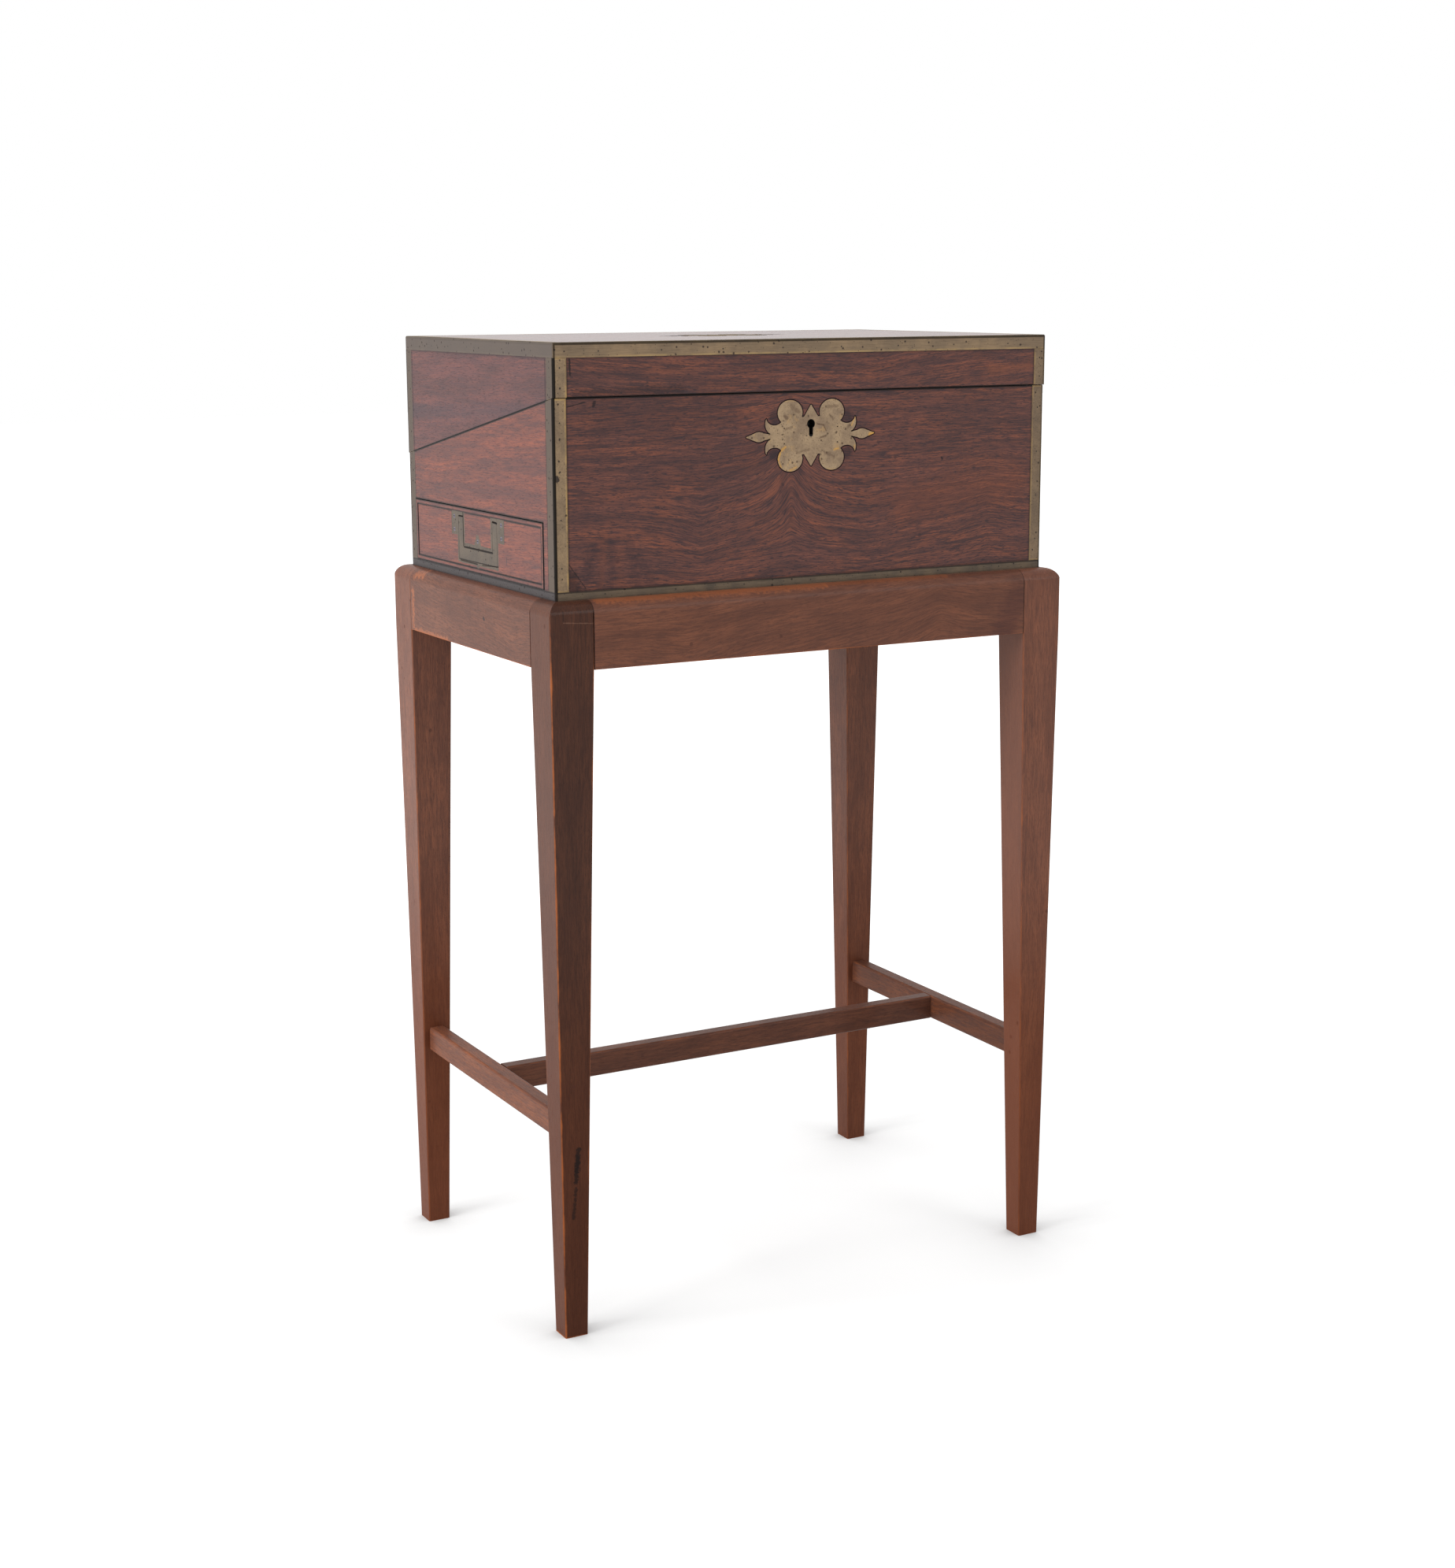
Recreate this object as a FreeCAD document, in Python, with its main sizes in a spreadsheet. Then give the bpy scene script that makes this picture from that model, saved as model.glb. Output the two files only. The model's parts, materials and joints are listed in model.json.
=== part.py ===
"""Brass-bound writing slope box with an end drawer, on its own four-legged stand.

+X runs along the front, +Y from the front (the lock side) to the hinge side, +Z up, in millimetres.
The origin is on the floor under the middle of the stand.  The box stands in a rebate in the stand's
rails; its body is cut by a sloping seam, so that the opened lid and the body make one writing slope.
"""

import FreeCAD, Part
import math
import os
import re

import Sketcher

# --------------------------------------------------------------------------------------- sizes
SIZES = {
    # box
    "box_width": 500,
    "box_depth": 324,
    "box_height": 218,
    "lid_front_depth": 46,
    "lid_overhang": 2,
    "seam_gap": 0.4,
    "board": 11,
    "top_board": 10,
    "bottom_board": 10.2,
    "dust_board": 6,
    "edge_round": 1.5,
    # brass straps and bands
    "brass": 1.5,
    "strap_width": 12.5,
    "strap_return": 13.5,
    "top_band": 12.5,
    "band_reveal": 0.2,
    "bottom_lip": 8,
    "pin_radius": 0.7,
    "pin_length": 6,
    "end_pin_line": 8,
    "top_pin_line": 7.5,
    # stand
    "stand_height": 660,
    "seat_depth": 3,
    "seat_clearance": 0.5,
    "rim_side": 12.5,
    "rim_front": 15,
    "rim_round": 12,
    "rail_height": 58.5,
    "rail_side_thickness": 22,
    "rail_front_thickness": 24,
    "leg_top": 41,
    "leg_foot": 22,
    "foot_set_in": 5.7,
    "leg_arris": 1.5,
    "tenon_thickness": 12,
    "tenon_height": 38,
    "tenon_length": 18,
    "stretcher_top": 203.7,
    "stretcher_height": 24,
    "stretcher_width": 15.5,
    "stretcher_arris": 2.5,
    "stretcher_tenon": 6,
    "stretcher_tongue": 7.8,
    "stretcher_shoulder": 5,
    # drawer
    "opening_height": 57.3,
    "opening_front": 22.5,
    "opening_rear": 13.8,
    "drawer_gap": 0.6,
    "drawer_lift": 0.3,
    "drawer_end_space": 30,
    "drawer_front": 9,
    "drawer_side": 6,
    "drawer_side_drop": 4,
    "drawer_bottom": 4,
    "drawer_groove": 3,
    "bead_width": 4,
    "bead_depth": 4,
    "bead_proud": 0.4,
    "guide_height": 20,
    # drawer handle
    "handle_shift": 2,
    "ear_span": 119,
    "ear_height": 24.5,
    "plate_span": 92,
    "plate_height": 49,
    "plate_top_margin": 1,
    "plate_thickness": 3,
    "plate_lip": 3.5,
    "grip_span": 66,
    "grip_bar": 12,
    "bail_arm": 10,
    "bail_thickness": 2,
    "bail_gap": 0.4,
    "pivot_drop": 8,
    "pivot_radius": 0.7,
    "pivot_clearance": 0.05,
    "pivot_length": 1.6,
    "tongue_width": 16,
    "tongue_height": 9.5,
    "tongue_tip": 2.4,
    "tongue_screw_rise": 3.5,
    "nib_width": 9,
    "nib_drop": 4,
    "screw_inset": 6.5,
    "screw_radius": 2,
    "screw_length": 8,
    "screw_high": 8,
    "screw_low": 20,
    "screw_slot": 0.6,
    "screw_slot_depth": 0.8,
    # keyhole plate and top plate
    "plate_inlay": 1.2,
    "lobe_half": 12.6,
    "lobe_high": 11,
    "lobe_across": 21.3,
    "lobe_up": 20.1,
    "point_up": 26.6,
    "horn_across": 36.5,
    "horn_up": 11,
    "horn_radius": 10,
    "wing_half": 6.6,
    "lobe_web": 6,
    "hollow_across": 37,
    "hollow_up": 16.4,
    "hollow_half": 8.4,
    "hollow_high": 6.8,
    "leaf_across": 65.5,
    "leaf_half": 6.5,
    "leaf_high": 4.4,
    "keyhole_radius": 3.8,
    "keyhole_slot": 3.6,
    "keyhole_drop": 9.2,
    "escutcheon_drop": 38,
    "keyhole_rise": 9.9,
    "notch_up": 16.4,
    "point_half": 7.8,
    "point_blunt": 0.3,
    "leaf_root": 32.5,
    "leaf_root_half": 5.5,
    "neck_across": 41.5,
    "neck_half": 1.9,
    "leaf_belly": 52.6,
    "leaf_shoulder": 4.6,
    "leaf_shoulder_half": 3.1,
    "leaf_taper": 3.4,
    "leaf_taper_half": 3.7,
    # lock
    "lock_height": 46,
    "lock_skin": 2.2,
    "lock_shell": 1,
    "lock_roof": 2.5,
    "bolt_thickness": 1.2,
    "bolt_height": 9,
    "bolt_drop": 4.5,
    "bolt_post": 3,
    "bolt_travel": 4.5,
    "bolt_room": 1,
    "hook_length": 4.5,
    "hook_height": 1.8,
    "hook_gap": 0.6,
    "staple_thickness": 2,
    "staple_width": 4,
    "staple_wall": 0.8,
    "staple_tip": 1.4,
    "staple_reach": 9,
    "staple_pitch": 20,
    "eye_height": 3.4,
    "slot_room": 0.5,
    "link_width": 40,
    "link_margin": 2.8,
    "link_plate": 1.5,
    # hinges
    "hinge_inset": 100,
    "hinge_length": 40,
    "hinge_offset": 1.2,
    "hinge_leaf": 1.2,
    "hinge_reach": 8.5,
    "knuckle_radius": 2.5,
    "knuckle_gap": 0.3,
    "hinge_pin_radius": 1.2,
    "hinge_pin_clearance": 0.05,
    # inside
    "tray_width": 56,
    "tray_drop": 6,
    "tray_lift": 24,
    "tray_fit": 0.4,
    "trough_radius": 21,
    "trough_wall": 22,
    "trough_drop": 2,
    "well_side": 42,
    "well_depth": 46,
    "well_inset": 31,
    "bottle_fit": 1,
    "bottle_corner": 4,
    "bottle_base": 4,
    "bottle_height": 34,
    "neck_radius": 11,
    "neck_height": 5,
    "ink_radius": 14,
    "ink_mouth": 8,
    "cap_radius": 16,
    "cap_height": 8,
    "partition": 5,
    "flap": 6,
    "flap_drop": 0.8,
    "flap_fit": 0.6,
    "leather": 1,
    "leather_margin": 14,
    "ledge_width": 6,
    "ledge_height": 10,
}

# What follows from the sizes; over is how far a cutter runs past what it cuts.
DERIVED = {
    "over": "1",
    "half_width": "box_width / 2",
    "half_depth": "box_depth / 2",
    "seat_level": "stand_height - seat_depth",
    "box_top": "seat_level + box_height",
    "bottom_band": "bottom_board - band_reveal",
    "slope": "(box_height / 2 - lid_front_depth) / box_depth",
    "seam_angle": "atan(slope)",
    "lid_half_depth": "half_depth + lid_overhang",
    "inner_half_width": "half_width - board",
    "inner_half_depth": "half_depth - board",
    "stand_width": "box_width + 2 * (rim_side + seat_clearance)",
    "stand_depth": "box_depth + 2 * (rim_front + seat_clearance)",
    "rail_under": "stand_height - rail_height",
    "opening_level": "seat_level + bottom_board",
    "opening_low": "-half_depth + opening_front",
    "opening_high": "half_depth - opening_rear",
    "dust_level": "opening_level + opening_height",
    "dust_top": "dust_level + dust_board",
    "drawer_level": "opening_level + drawer_lift",
    "front_height": "opening_height - drawer_lift - drawer_gap",
    "side_height": "front_height - drawer_side_drop",
    "handle_middle": "(opening_low + opening_high) / 2 - handle_shift",
    "handle_top": "drawer_level + front_height - plate_top_margin",
    "pivot_level": "handle_top - pivot_drop",
    "pivot_depth": "-half_width + bail_thickness / 2",
    "bail_level": "handle_top - plate_height + bail_border",
    "bail_border": "(plate_span - grip_span) / 2 - bail_arm",
    "bail_half": "grip_span / 2 + bail_arm",
    "escutcheon_level": "seam_front - escutcheon_drop",
    "keyhole_level": "escutcheon_level + keyhole_rise",
    "seam_front": "seat_level + box_height - lid_front_depth",
    "hinge_y": "lid_half_depth + hinge_offset",
    "hinge_place": "half_width - hinge_inset",
    "drawer_length": "box_width - drawer_end_space",
    "tray_level": "dust_top + tray_lift",
    "tray_rear": "-inner_half_depth + tray_width",
    "well_place": "inner_half_width - well_inset",
    "trough_half_length": "well_place - well_side / 2 - trough_wall",
    "well_floor": "tray_top_middle - well_depth",
    "lock_thickness": "board - lock_skin",
    "link_deep": "lock_thickness - link_margin",
    "lock_middle": "-half_depth + lock_skin + lock_thickness / 2",
    "bolt_reach": "staple_pitch / 2 + hook_length + hook_gap + bolt_post",
    "lock_width": "2 * (bolt_reach + bolt_travel + bolt_room + lock_shell)",
    "eye_drop": "staple_reach - staple_tip - eye_height / 2",
}


def bound(text):
    """Expression text with derived names written out and sheet names prefixed."""

    def swap(match):
        word = match.group(0)
        if word in DERIVED:
            return "(" + bound(DERIVED[word]) + ")"
        return "Sizes." + word if word in SIZES else word

    return re.sub(r"[a-z]+(?:_[a-z]+)*", swap, text)


def seam_at(y_text):
    """Expression for the seam's height at a given y."""
    return f"(seat_level + box_height / 2 + slope * (half_depth - ({y_text})))"


DERIVED["tray_top_middle"] = seam_at("-inner_half_depth + tray_width / 2") + " - tray_drop"

doc = FreeCAD.newDocument("WritingBox")
sheet = doc.addObject("Spreadsheet::Sheet", "Sizes")
for row, (alias, number) in enumerate(SIZES.items(), start=1):
    sheet.set(f"A{row}", alias)
    sheet.set(f"B{row}", str(number))
    sheet.setAlias(f"B{row}", alias)
doc.recompute()

X_AXIS = FreeCAD.Vector(1, 0, 0)
Y_AXIS = FreeCAD.Vector(0, 1, 0)
Z_AXIS = FreeCAD.Vector(0, 0, 1)
UPRIGHT = FreeCAD.Rotation()
LEFT, RIGHT = "-1", "1"
FRONT, REAR = "-1", "1"
nodes = []


# --------------------------------------------------------------------------------------- helpers
def bind(piece, fields):
    """Tie each named property to its expression."""
    for field, text in fields.items():
        piece.setExpression(field, bound(str(text)))
    return piece


def place(piece, spot, turn=UPRIGHT):
    """Put the piece's origin at a spot given as three expressions, turned by a fixed rotation."""
    piece.Placement = FreeCAD.Placement(FreeCAD.Vector(), turn)
    return bind(piece, {f"Placement.Base.{axis}": text for axis, text in zip("xyz", spot)})


def node(piece, label):
    """Keep a finished piece under the name it is written with."""
    piece.Label = label
    if piece.Label != label:
        raise RuntimeError(f"the name {label} is taken")
    nodes.append(piece)
    return piece


def slab(name, x_span, y_span, z_span):
    """Upright box between pairs of expressions."""
    piece = doc.addObject("Part::Box", name)
    spans = dict(zip(("Length", "Width", "Height"), (x_span, y_span, z_span)))
    bind(piece, {field: f"({high}) - ({low})" for field, (low, high) in spans.items()})
    return place(piece, [low for low, high in spans.values()])


def wedge(name, x_span, y_span, front_z, rear_z):
    """Block with upright sides whose floor and top run evenly from the front face to the rear."""
    piece = doc.addObject("Part::Wedge", name)
    corners = {"Xm": x_span, "X2m": x_span, "Ym": y_span, "Zm": front_z, "Z2m": rear_z}
    fields = {field + end: text for field, span in corners.items() for end, text in zip(("in", "ax"), span)}
    return bind(piece, fields)


def sloped(name, x_span, y_span, low, high):
    """Slab that follows the seam, between two heights measured from it."""
    y_low, y_high = y_span
    front = [f"{seam_at(y_low)} + ({rise})" for rise in (low, high)]
    rear = [f"{seam_at(y_high)} + ({rise})" for rise in (low, high)]
    return wedge(name, x_span, y_span, front, rear)


def rod(name, start, radius, length, axis=Z_AXIS):
    """Cylinder from a start point along one of the axes."""
    piece = doc.addObject("Part::Cylinder", name)
    bind(piece, {"Radius": radius, "Height": length})
    return place(piece, start, FreeCAD.Rotation(Z_AXIS, axis))


def join(name, *pieces):
    """One solid, or one group of cutters, from several."""
    piece = doc.addObject("Part::MultiFuse", name)
    piece.Shapes = list(pieces)
    return piece


def group(name, *pieces):
    """Several separate solids kept side by side."""
    piece = doc.addObject("Part::Compound", name)
    piece.Links = list(pieces)
    return piece


def cut(name, base, *tools):
    """The base less its tools, taken off one after another."""
    piece = base
    for index, tool in enumerate(tools, start=1):
        step = doc.addObject("Part::Cut", name if index == len(tools) else f"{name}_step_{index}")
        step.Base = piece
        step.Tool = tool
        piece = step
    return piece


def within(name, piece, space):
    """The part of a piece that lies in a space."""
    common = doc.addObject("Part::Common", name)
    common.Base = piece
    common.Tool = space
    return common


def rounded_outline(name, size, corner, spot, turn=UPRIGHT):
    """Sketch of a rectangle with equal round corners, its low corner on the sketch's origin.

    It is drawn at a starting size, and its constraints then bring it to the one asked for.
    """
    sketch = doc.addObject("Sketcher::SketchObject", name)
    wide, deep, radius = 40, 30, 2
    ends = [(radius, 0), (wide - radius, 0), (wide, radius), (wide, deep - radius),
            (wide - radius, deep), (radius, deep), (0, deep - radius), (0, radius)]
    points = [FreeCAD.Vector(x, y, 0) for x, y in ends]
    for side in range(4):
        sketch.addGeometry(Part.LineSegment(points[2 * side], points[2 * side + 1]), False)
    for side in range(4):
        middle = [(wide - radius, radius), (wide - radius, deep - radius),
                  (radius, deep - radius), (radius, radius)][side]
        circle = Part.Circle(FreeCAD.Vector(*middle, 0), Z_AXIS, radius)
        arc = Part.ArcOfCircle(circle, (side - 1) * math.pi / 2, side * math.pi / 2)
        sketch.addGeometry(arc, False)
    for side in range(4):
        arc = 4 + side
        sketch.addConstraint(Sketcher.Constraint("Tangent", side, 2, arc, 1))
        sketch.addConstraint(Sketcher.Constraint("Tangent", arc, 2, (side + 1) % 4, 1))
    for side in (0, 2):
        sketch.addConstraint(Sketcher.Constraint("Horizontal", side))
        sketch.addConstraint(Sketcher.Constraint("Vertical", side + 1))
    for arc in (5, 6, 7):
        sketch.addConstraint(Sketcher.Constraint("Equal", 4, arc))
    sketch.addConstraint(Sketcher.Constraint("PointOnObject", 0, 1, -1))
    sketch.addConstraint(Sketcher.Constraint("PointOnObject", 3, 1, -2))
    named = {
        "corner": (Sketcher.Constraint("Radius", 4, radius), corner),
        "wide": (Sketcher.Constraint("DistanceX", 3, 2, 1, 1, wide), size[0]),
        "deep": (Sketcher.Constraint("DistanceY", 0, 2, 2, 1, deep), size[1]),
    }
    for label, (constraint, text) in named.items():
        index = sketch.addConstraint(constraint)
        sketch.renameConstraint(index, label)
        sketch.setExpression(f"Constraints.{label}", bound(text))
    return place(sketch, spot, turn)


def bar(name, outline, length, direction=Z_AXIS):
    """Solid drawn out from an outline."""
    piece = doc.addObject("Part::Extrusion", name)
    piece.Base = outline
    piece.DirMode = "Custom"
    piece.Dir = direction
    piece.Solid = True
    return bind(piece, {"LengthFwd": length})


def rounded_block(name, spot, size, edge, whole):
    """Body padded from a plain rectangle, with its top edges or all its edges rounded.

    The rectangle is drawn at a starting size, and its constraints then set the real one.
    """
    body = doc.addObject("PartDesign::Body", name)
    sketch = body.newObject("Sketcher::SketchObject", name + "_outline")
    planes = [o for o in body.Origin.OriginFeatures if o.Role == "XY_Plane"]
    sketch.AttachmentSupport = (planes[0], [""])
    sketch.MapMode = "FlatFace"
    wide, deep = 500, 300
    corners = [FreeCAD.Vector(x, y, 0) for x, y in ((0, 0), (wide, 0), (wide, deep), (0, deep))]
    for side in range(4):
        sketch.addGeometry(Part.LineSegment(corners[side], corners[(side + 1) % 4]), False)
    for side in range(4):
        sketch.addConstraint(Sketcher.Constraint("Coincident", side, 2, (side + 1) % 4, 1))
        level = "Horizontal" if side % 2 == 0 else "Vertical"
        sketch.addConstraint(Sketcher.Constraint(level, side))
    sketch.addConstraint(Sketcher.Constraint("Coincident", 0, 1, -1, 1))
    for label, kind, side, text in (("wide", "DistanceX", 0, size[0]), ("deep", "DistanceY", 1, size[1])):
        index = sketch.addConstraint(Sketcher.Constraint(kind, side, 1, side, 2, deep))
        sketch.renameConstraint(index, label)
        sketch.setExpression(f"Constraints.{label}", bound(text))
    pad = body.newObject("PartDesign::Pad", name + "_pad")
    pad.Profile = sketch
    bind(pad, {"Length": size[2]})
    doc.recompute()
    rounding = body.newObject("PartDesign::Fillet", name + "_rounding")
    top = pad.Shape.BoundBox.ZMax
    faces = [f"Face{i}" for i, face in enumerate(pad.Shape.Faces, start=1)
             if whole or math.isclose(face.CenterOfMass.z, top)]
    rounding.Base = (pad, faces)
    bind(rounding, {"Radius": edge})
    body.Tip = rounding
    return place(body, spot)


def mirrored_span(low, high, side):
    """Span between two distances from the middle, on the given side of it."""
    return (low, high) if side == RIGHT else (f"-({high})", f"-({low})")


# --------------------------------------------------------------------------------------- spaces
# The rounded outer forms, each cut by the seam, that every outer board and strap keeps inside.
box_block = rounded_block("box_block", ("-half_width", "-half_depth", "seat_level"),
                          ("box_width", "box_depth", "box_height"), "edge_round", True)
lid_block = rounded_block("lid_block", ("-half_width", "-lid_half_depth", "seat_level"),
                          ("box_width", "2 * lid_half_depth", "box_height"), "edge_round", True)
full_x = ("-half_width - over", "half_width + over")
base_y = ("-half_depth - over", "half_depth + over")
lid_y = ("-lid_half_depth - over", "lid_half_depth + over")
base_wedge = wedge("base_wedge", full_x, base_y, ("seat_level - over", seam_at(base_y[0])),
                   ("seat_level - over", seam_at(base_y[1])))
lid_wedge = wedge("lid_wedge", full_x, lid_y, (seam_at(lid_y[0]) + " + seam_gap", "box_top + over"),
                  (seam_at(lid_y[1]) + " + seam_gap", "box_top + over"))
base_space = within("base_space", box_block, base_wedge)
lid_space = within("lid_space", lid_block, lid_wedge)


# --------------------------------------------------------------------------------------- stand
CORNERS = {"front_left": (LEFT, FRONT), "front_right": (RIGHT, FRONT),
           "rear_left": (LEFT, REAR), "rear_right": (RIGHT, REAR)}
crown = rounded_block("crown", ("-stand_width / 2", "-stand_depth / 2", "0"),
                      ("stand_width", "stand_depth", "stand_height"), "rim_round", False)
seat_x = ("-half_width - seat_clearance", "half_width + seat_clearance")
seat_y = ("-half_depth - seat_clearance", "half_depth + seat_clearance")
seat = slab("seat", seat_x, seat_y, ("seat_level", "stand_height + over"))
rail_z = ("rail_under", "stand_height")
tenon_z = ("rail_under + (rail_height - seat_depth - tenon_height) / 2",
           "rail_under + (rail_height - seat_depth + tenon_height) / 2")
rail_end_x = "stand_width / 2 - leg_top"
rail_end_y = "stand_depth / 2 - leg_top"
tenons = {}
for side_name, side in (("left", LEFT), ("right", RIGHT)):
    across = mirrored_span("stand_width / 2 - (rail_side_thickness + tenon_thickness) / 2",
                           "stand_width / 2 - (rail_side_thickness - tenon_thickness) / 2", side)
    tenons[side_name] = slab(f"tenon_{side_name}", across,
                             (f"-({rail_end_y}) - tenon_length", f"{rail_end_y} + tenon_length"), tenon_z)
for side_name, side in (("front", FRONT), ("rear", REAR)):
    across = mirrored_span("stand_depth / 2 - (rail_front_thickness + tenon_thickness) / 2",
                           "stand_depth / 2 - (rail_front_thickness - tenon_thickness) / 2", side)
    tenons[side_name] = slab(f"tenon_{side_name}",
                             (f"-({rail_end_x}) - tenon_length", f"{rail_end_x} + tenon_length"),
                             across, tenon_z)

leg_share = "(1 - (stretcher_top - stretcher_height / 2) / rail_under)"
leg_middle_x = f"stand_width / 2 - leg_top / 2 - {leg_share} * (foot_set_in + (leg_foot - leg_top) / 2)"
leg_middle_y = f"stand_depth / 2 - leg_top / 2 - {leg_share} * (foot_set_in + (leg_foot - leg_top) / 2)"
stretcher_z = "stretcher_top - stretcher_height"
stretcher_tenon_z = ("stretcher_top - stretcher_height + stretcher_shoulder",
                     "stretcher_top - stretcher_shoulder")
stretcher_inner_y = (f"stand_depth / 2 - leg_top + {leg_share}"
                     " * (leg_top - leg_foot - foot_set_in) + stretcher_tenon")
leg_forms = {}
for name, (side, end) in CORNERS.items():
    foot_spot = [f"{side} * (stand_width / 2 - foot_set_in - leg_foot / 2) - leg_foot / 2",
                 f"{end} * (stand_depth / 2 - foot_set_in - leg_foot / 2) - leg_foot / 2", "0"]
    head_spot = [f"{side} * (stand_width / 2 - leg_top / 2) - leg_top / 2",
                 f"{end} * (stand_depth / 2 - leg_top / 2) - leg_top / 2", "rail_under"]
    foot = rounded_outline(f"foot_{name}", ("leg_foot", "leg_foot"), "leg_arris", foot_spot)
    head = rounded_outline(f"head_{name}", ("leg_top", "leg_top"), "leg_arris", head_spot)
    shaft = doc.addObject("Part::Loft", f"shaft_{name}")
    shaft.Sections = [foot, head]
    shaft.Solid = True
    shaft.Ruled = True
    block = bar(f"block_{name}", head, "rail_height")
    whole = join(f"whole_{name}", shaft, block)
    leg_forms[name] = within(f"form_{name}", whole, crown)

side_tenons = {}
side_stretchers = {}
for side_name, side in (("left", LEFT), ("right", RIGHT)):
    x_low = f"{side} * ({leg_middle_x}) - stretcher_width / 2"
    outline = rounded_outline(f"stretcher_outline_{side_name}", ("stretcher_width", "stretcher_height"),
                              "stretcher_arris", (x_low, f"{leg_middle_y}", stretcher_z),
                              FreeCAD.Rotation(X_AXIS, 90))
    length = bar(f"stretcher_length_{side_name}", outline, f"2 * ({leg_middle_y})", -Y_AXIS)
    trimmed = cut(f"stretcher_trim_{side_name}", length, *(leg_forms[f"{end}_{side_name}"]
                                                          for end in ("front", "rear")))
    tongue = slab(f"stretcher_tongue_{side_name}",
                  (f"{side} * ({leg_middle_x}) - stretcher_tongue / 2",
                   f"{side} * ({leg_middle_x}) + stretcher_tongue / 2"),
                  (f"-({stretcher_inner_y})", stretcher_inner_y), stretcher_tenon_z)
    side_tenons[side_name] = tongue
    side_stretchers[side_name] = join(f"stretcher_whole_{side_name}", trimmed, tongue)

stretcher_end = f"{leg_middle_x} - stretcher_width / 2"
middle_outline = rounded_outline("middle_outline", ("stretcher_width", "stretcher_height"),
                                 "stretcher_arris", (f"-({stretcher_end})", "-stretcher_width / 2",
                                                     stretcher_z),
                                 FreeCAD.Rotation(FreeCAD.Vector(1, 1, 1), 120))
middle_bar = bar("middle_bar", middle_outline, f"2 * ({stretcher_end})", X_AXIS)
middle_tongue = slab("middle_tongue", (f"-({stretcher_end}) - stretcher_tenon",
                                       f"{stretcher_end} + stretcher_tenon"),
                     ("-stretcher_tongue / 2", "stretcher_tongue / 2"), stretcher_tenon_z)
node(join("middle_stretcher", middle_bar, middle_tongue), "stand_stretcher_centre")
for side_name, whole in side_stretchers.items():
    node(cut(f"stretcher_{side_name}", whole, middle_tongue), f"stand_stretcher_{side_name}")

for name, form in leg_forms.items():
    end_name, side_name = name.split("_")
    node(cut(f"leg_{name}", form, seat, tenons[end_name], tenons[side_name], side_tenons[side_name]),
         f"stand_leg_{name}")

for side_name, side in (("left", LEFT), ("right", RIGHT)):
    across = mirrored_span("stand_width / 2 - rail_side_thickness", "stand_width / 2", side)
    plank = slab(f"rail_plank_{side_name}", across, (f"-({rail_end_y})", rail_end_y), rail_z)
    shaped = cut(f"rail_form_{side_name}", within(f"rail_crown_{side_name}", plank, crown), seat)
    node(join(f"rail_{side_name}", shaped, tenons[side_name]), f"stand_rail_{side_name}")
for side_name, side in (("front", FRONT), ("rear", REAR)):
    across = mirrored_span("stand_depth / 2 - rail_front_thickness", "stand_depth / 2", side)
    plank = slab(f"rail_plank_{side_name}", (f"-({rail_end_x})", rail_end_x), across, rail_z)
    shaped = cut(f"rail_form_{side_name}", within(f"rail_crown_{side_name}", plank, crown), seat)
    node(join(f"rail_{side_name}", shaped, tenons[side_name]), f"stand_rail_{side_name}")


# --------------------------------------------------------------------------------------- box straps
def corner_strap(name, side, end, depth_half, z_span, space):
    """Angle of brass let in flush round one upright corner."""
    outer = slab(f"{name}_outer", mirrored_span("half_width - strap_width", "half_width", side),
                 mirrored_span(f"{depth_half} - strap_return", depth_half, end), z_span)
    inner = slab(f"{name}_inner",
                 mirrored_span("half_width - strap_width - over", "half_width - brass", side),
                 mirrored_span(f"{depth_half} - strap_return - over", f"{depth_half} - brass", end), z_span)
    return within(name, cut(f"{name}_angle", outer, inner), space)


def edge_band(name, depth_half, z_span, core_z, lip, space):
    """Angle of brass round all four edges of the top or the foot, brazed at its corners."""
    wall = "half_width - brass"
    deep = f"{depth_half} - brass"
    core = slab(f"{name}_core", (f"-({wall})", wall), (f"-({deep})", deep), core_z)
    open_x = f"half_width - {lip}"
    open_y = f"{depth_half} - {lip}"
    opening = slab(f"{name}_opening", (f"-({open_x})", open_x), (f"-({open_y})", open_y),
                   (f"{z_span[0]} - over", f"{z_span[1]} + over"))
    ring = slab(f"{name}_ring", full_x, (f"-{depth_half} - over", f"{depth_half} + over"), z_span)
    return cut(name, within(f"{name}_form", ring, space), core, opening)


band_floor = "box_top - top_band"
foot_roof = "seat_level + bottom_band"
lid_band = edge_band("lid_edging", "lid_half_depth", (band_floor, "box_top"),
                     (f"{band_floor} - over", "box_top - brass"), "top_band", lid_space)
base_band = edge_band("base_edging", "half_depth", ("seat_level", foot_roof),
                      ("seat_level + brass", f"{foot_roof} + over"), "bottom_lip", base_space)
base_straps = {}
lid_straps = {}
for name, (side, end) in CORNERS.items():
    base_straps[name] = corner_strap(f"base_corner_{name}", side, end, "half_depth",
                                     (foot_roof, "seam_front"), base_space)
    lid_straps[name] = corner_strap(f"lid_corner_{name}", side, end, "lid_half_depth",
                                    ("seat_level", band_floor), lid_space)


# --------------------------------------------------------------------------------------- strap pins
def pins_along(name, count, start, stop, face_spot, inward):
    """Evenly spaced pins from one end of a strap to the other, driven inward from its face."""
    made = []
    for index in range(count):
        share = f"({index} + 0.5) / {count}"
        along = f"({start}) + (({stop}) - ({start})) * {share}"
        made.append(rod(f"{name}_{index}", [text.replace("ALONG", along) for text in face_spot],
                        "pin_radius", "pin_length", inward))
    return made


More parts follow.
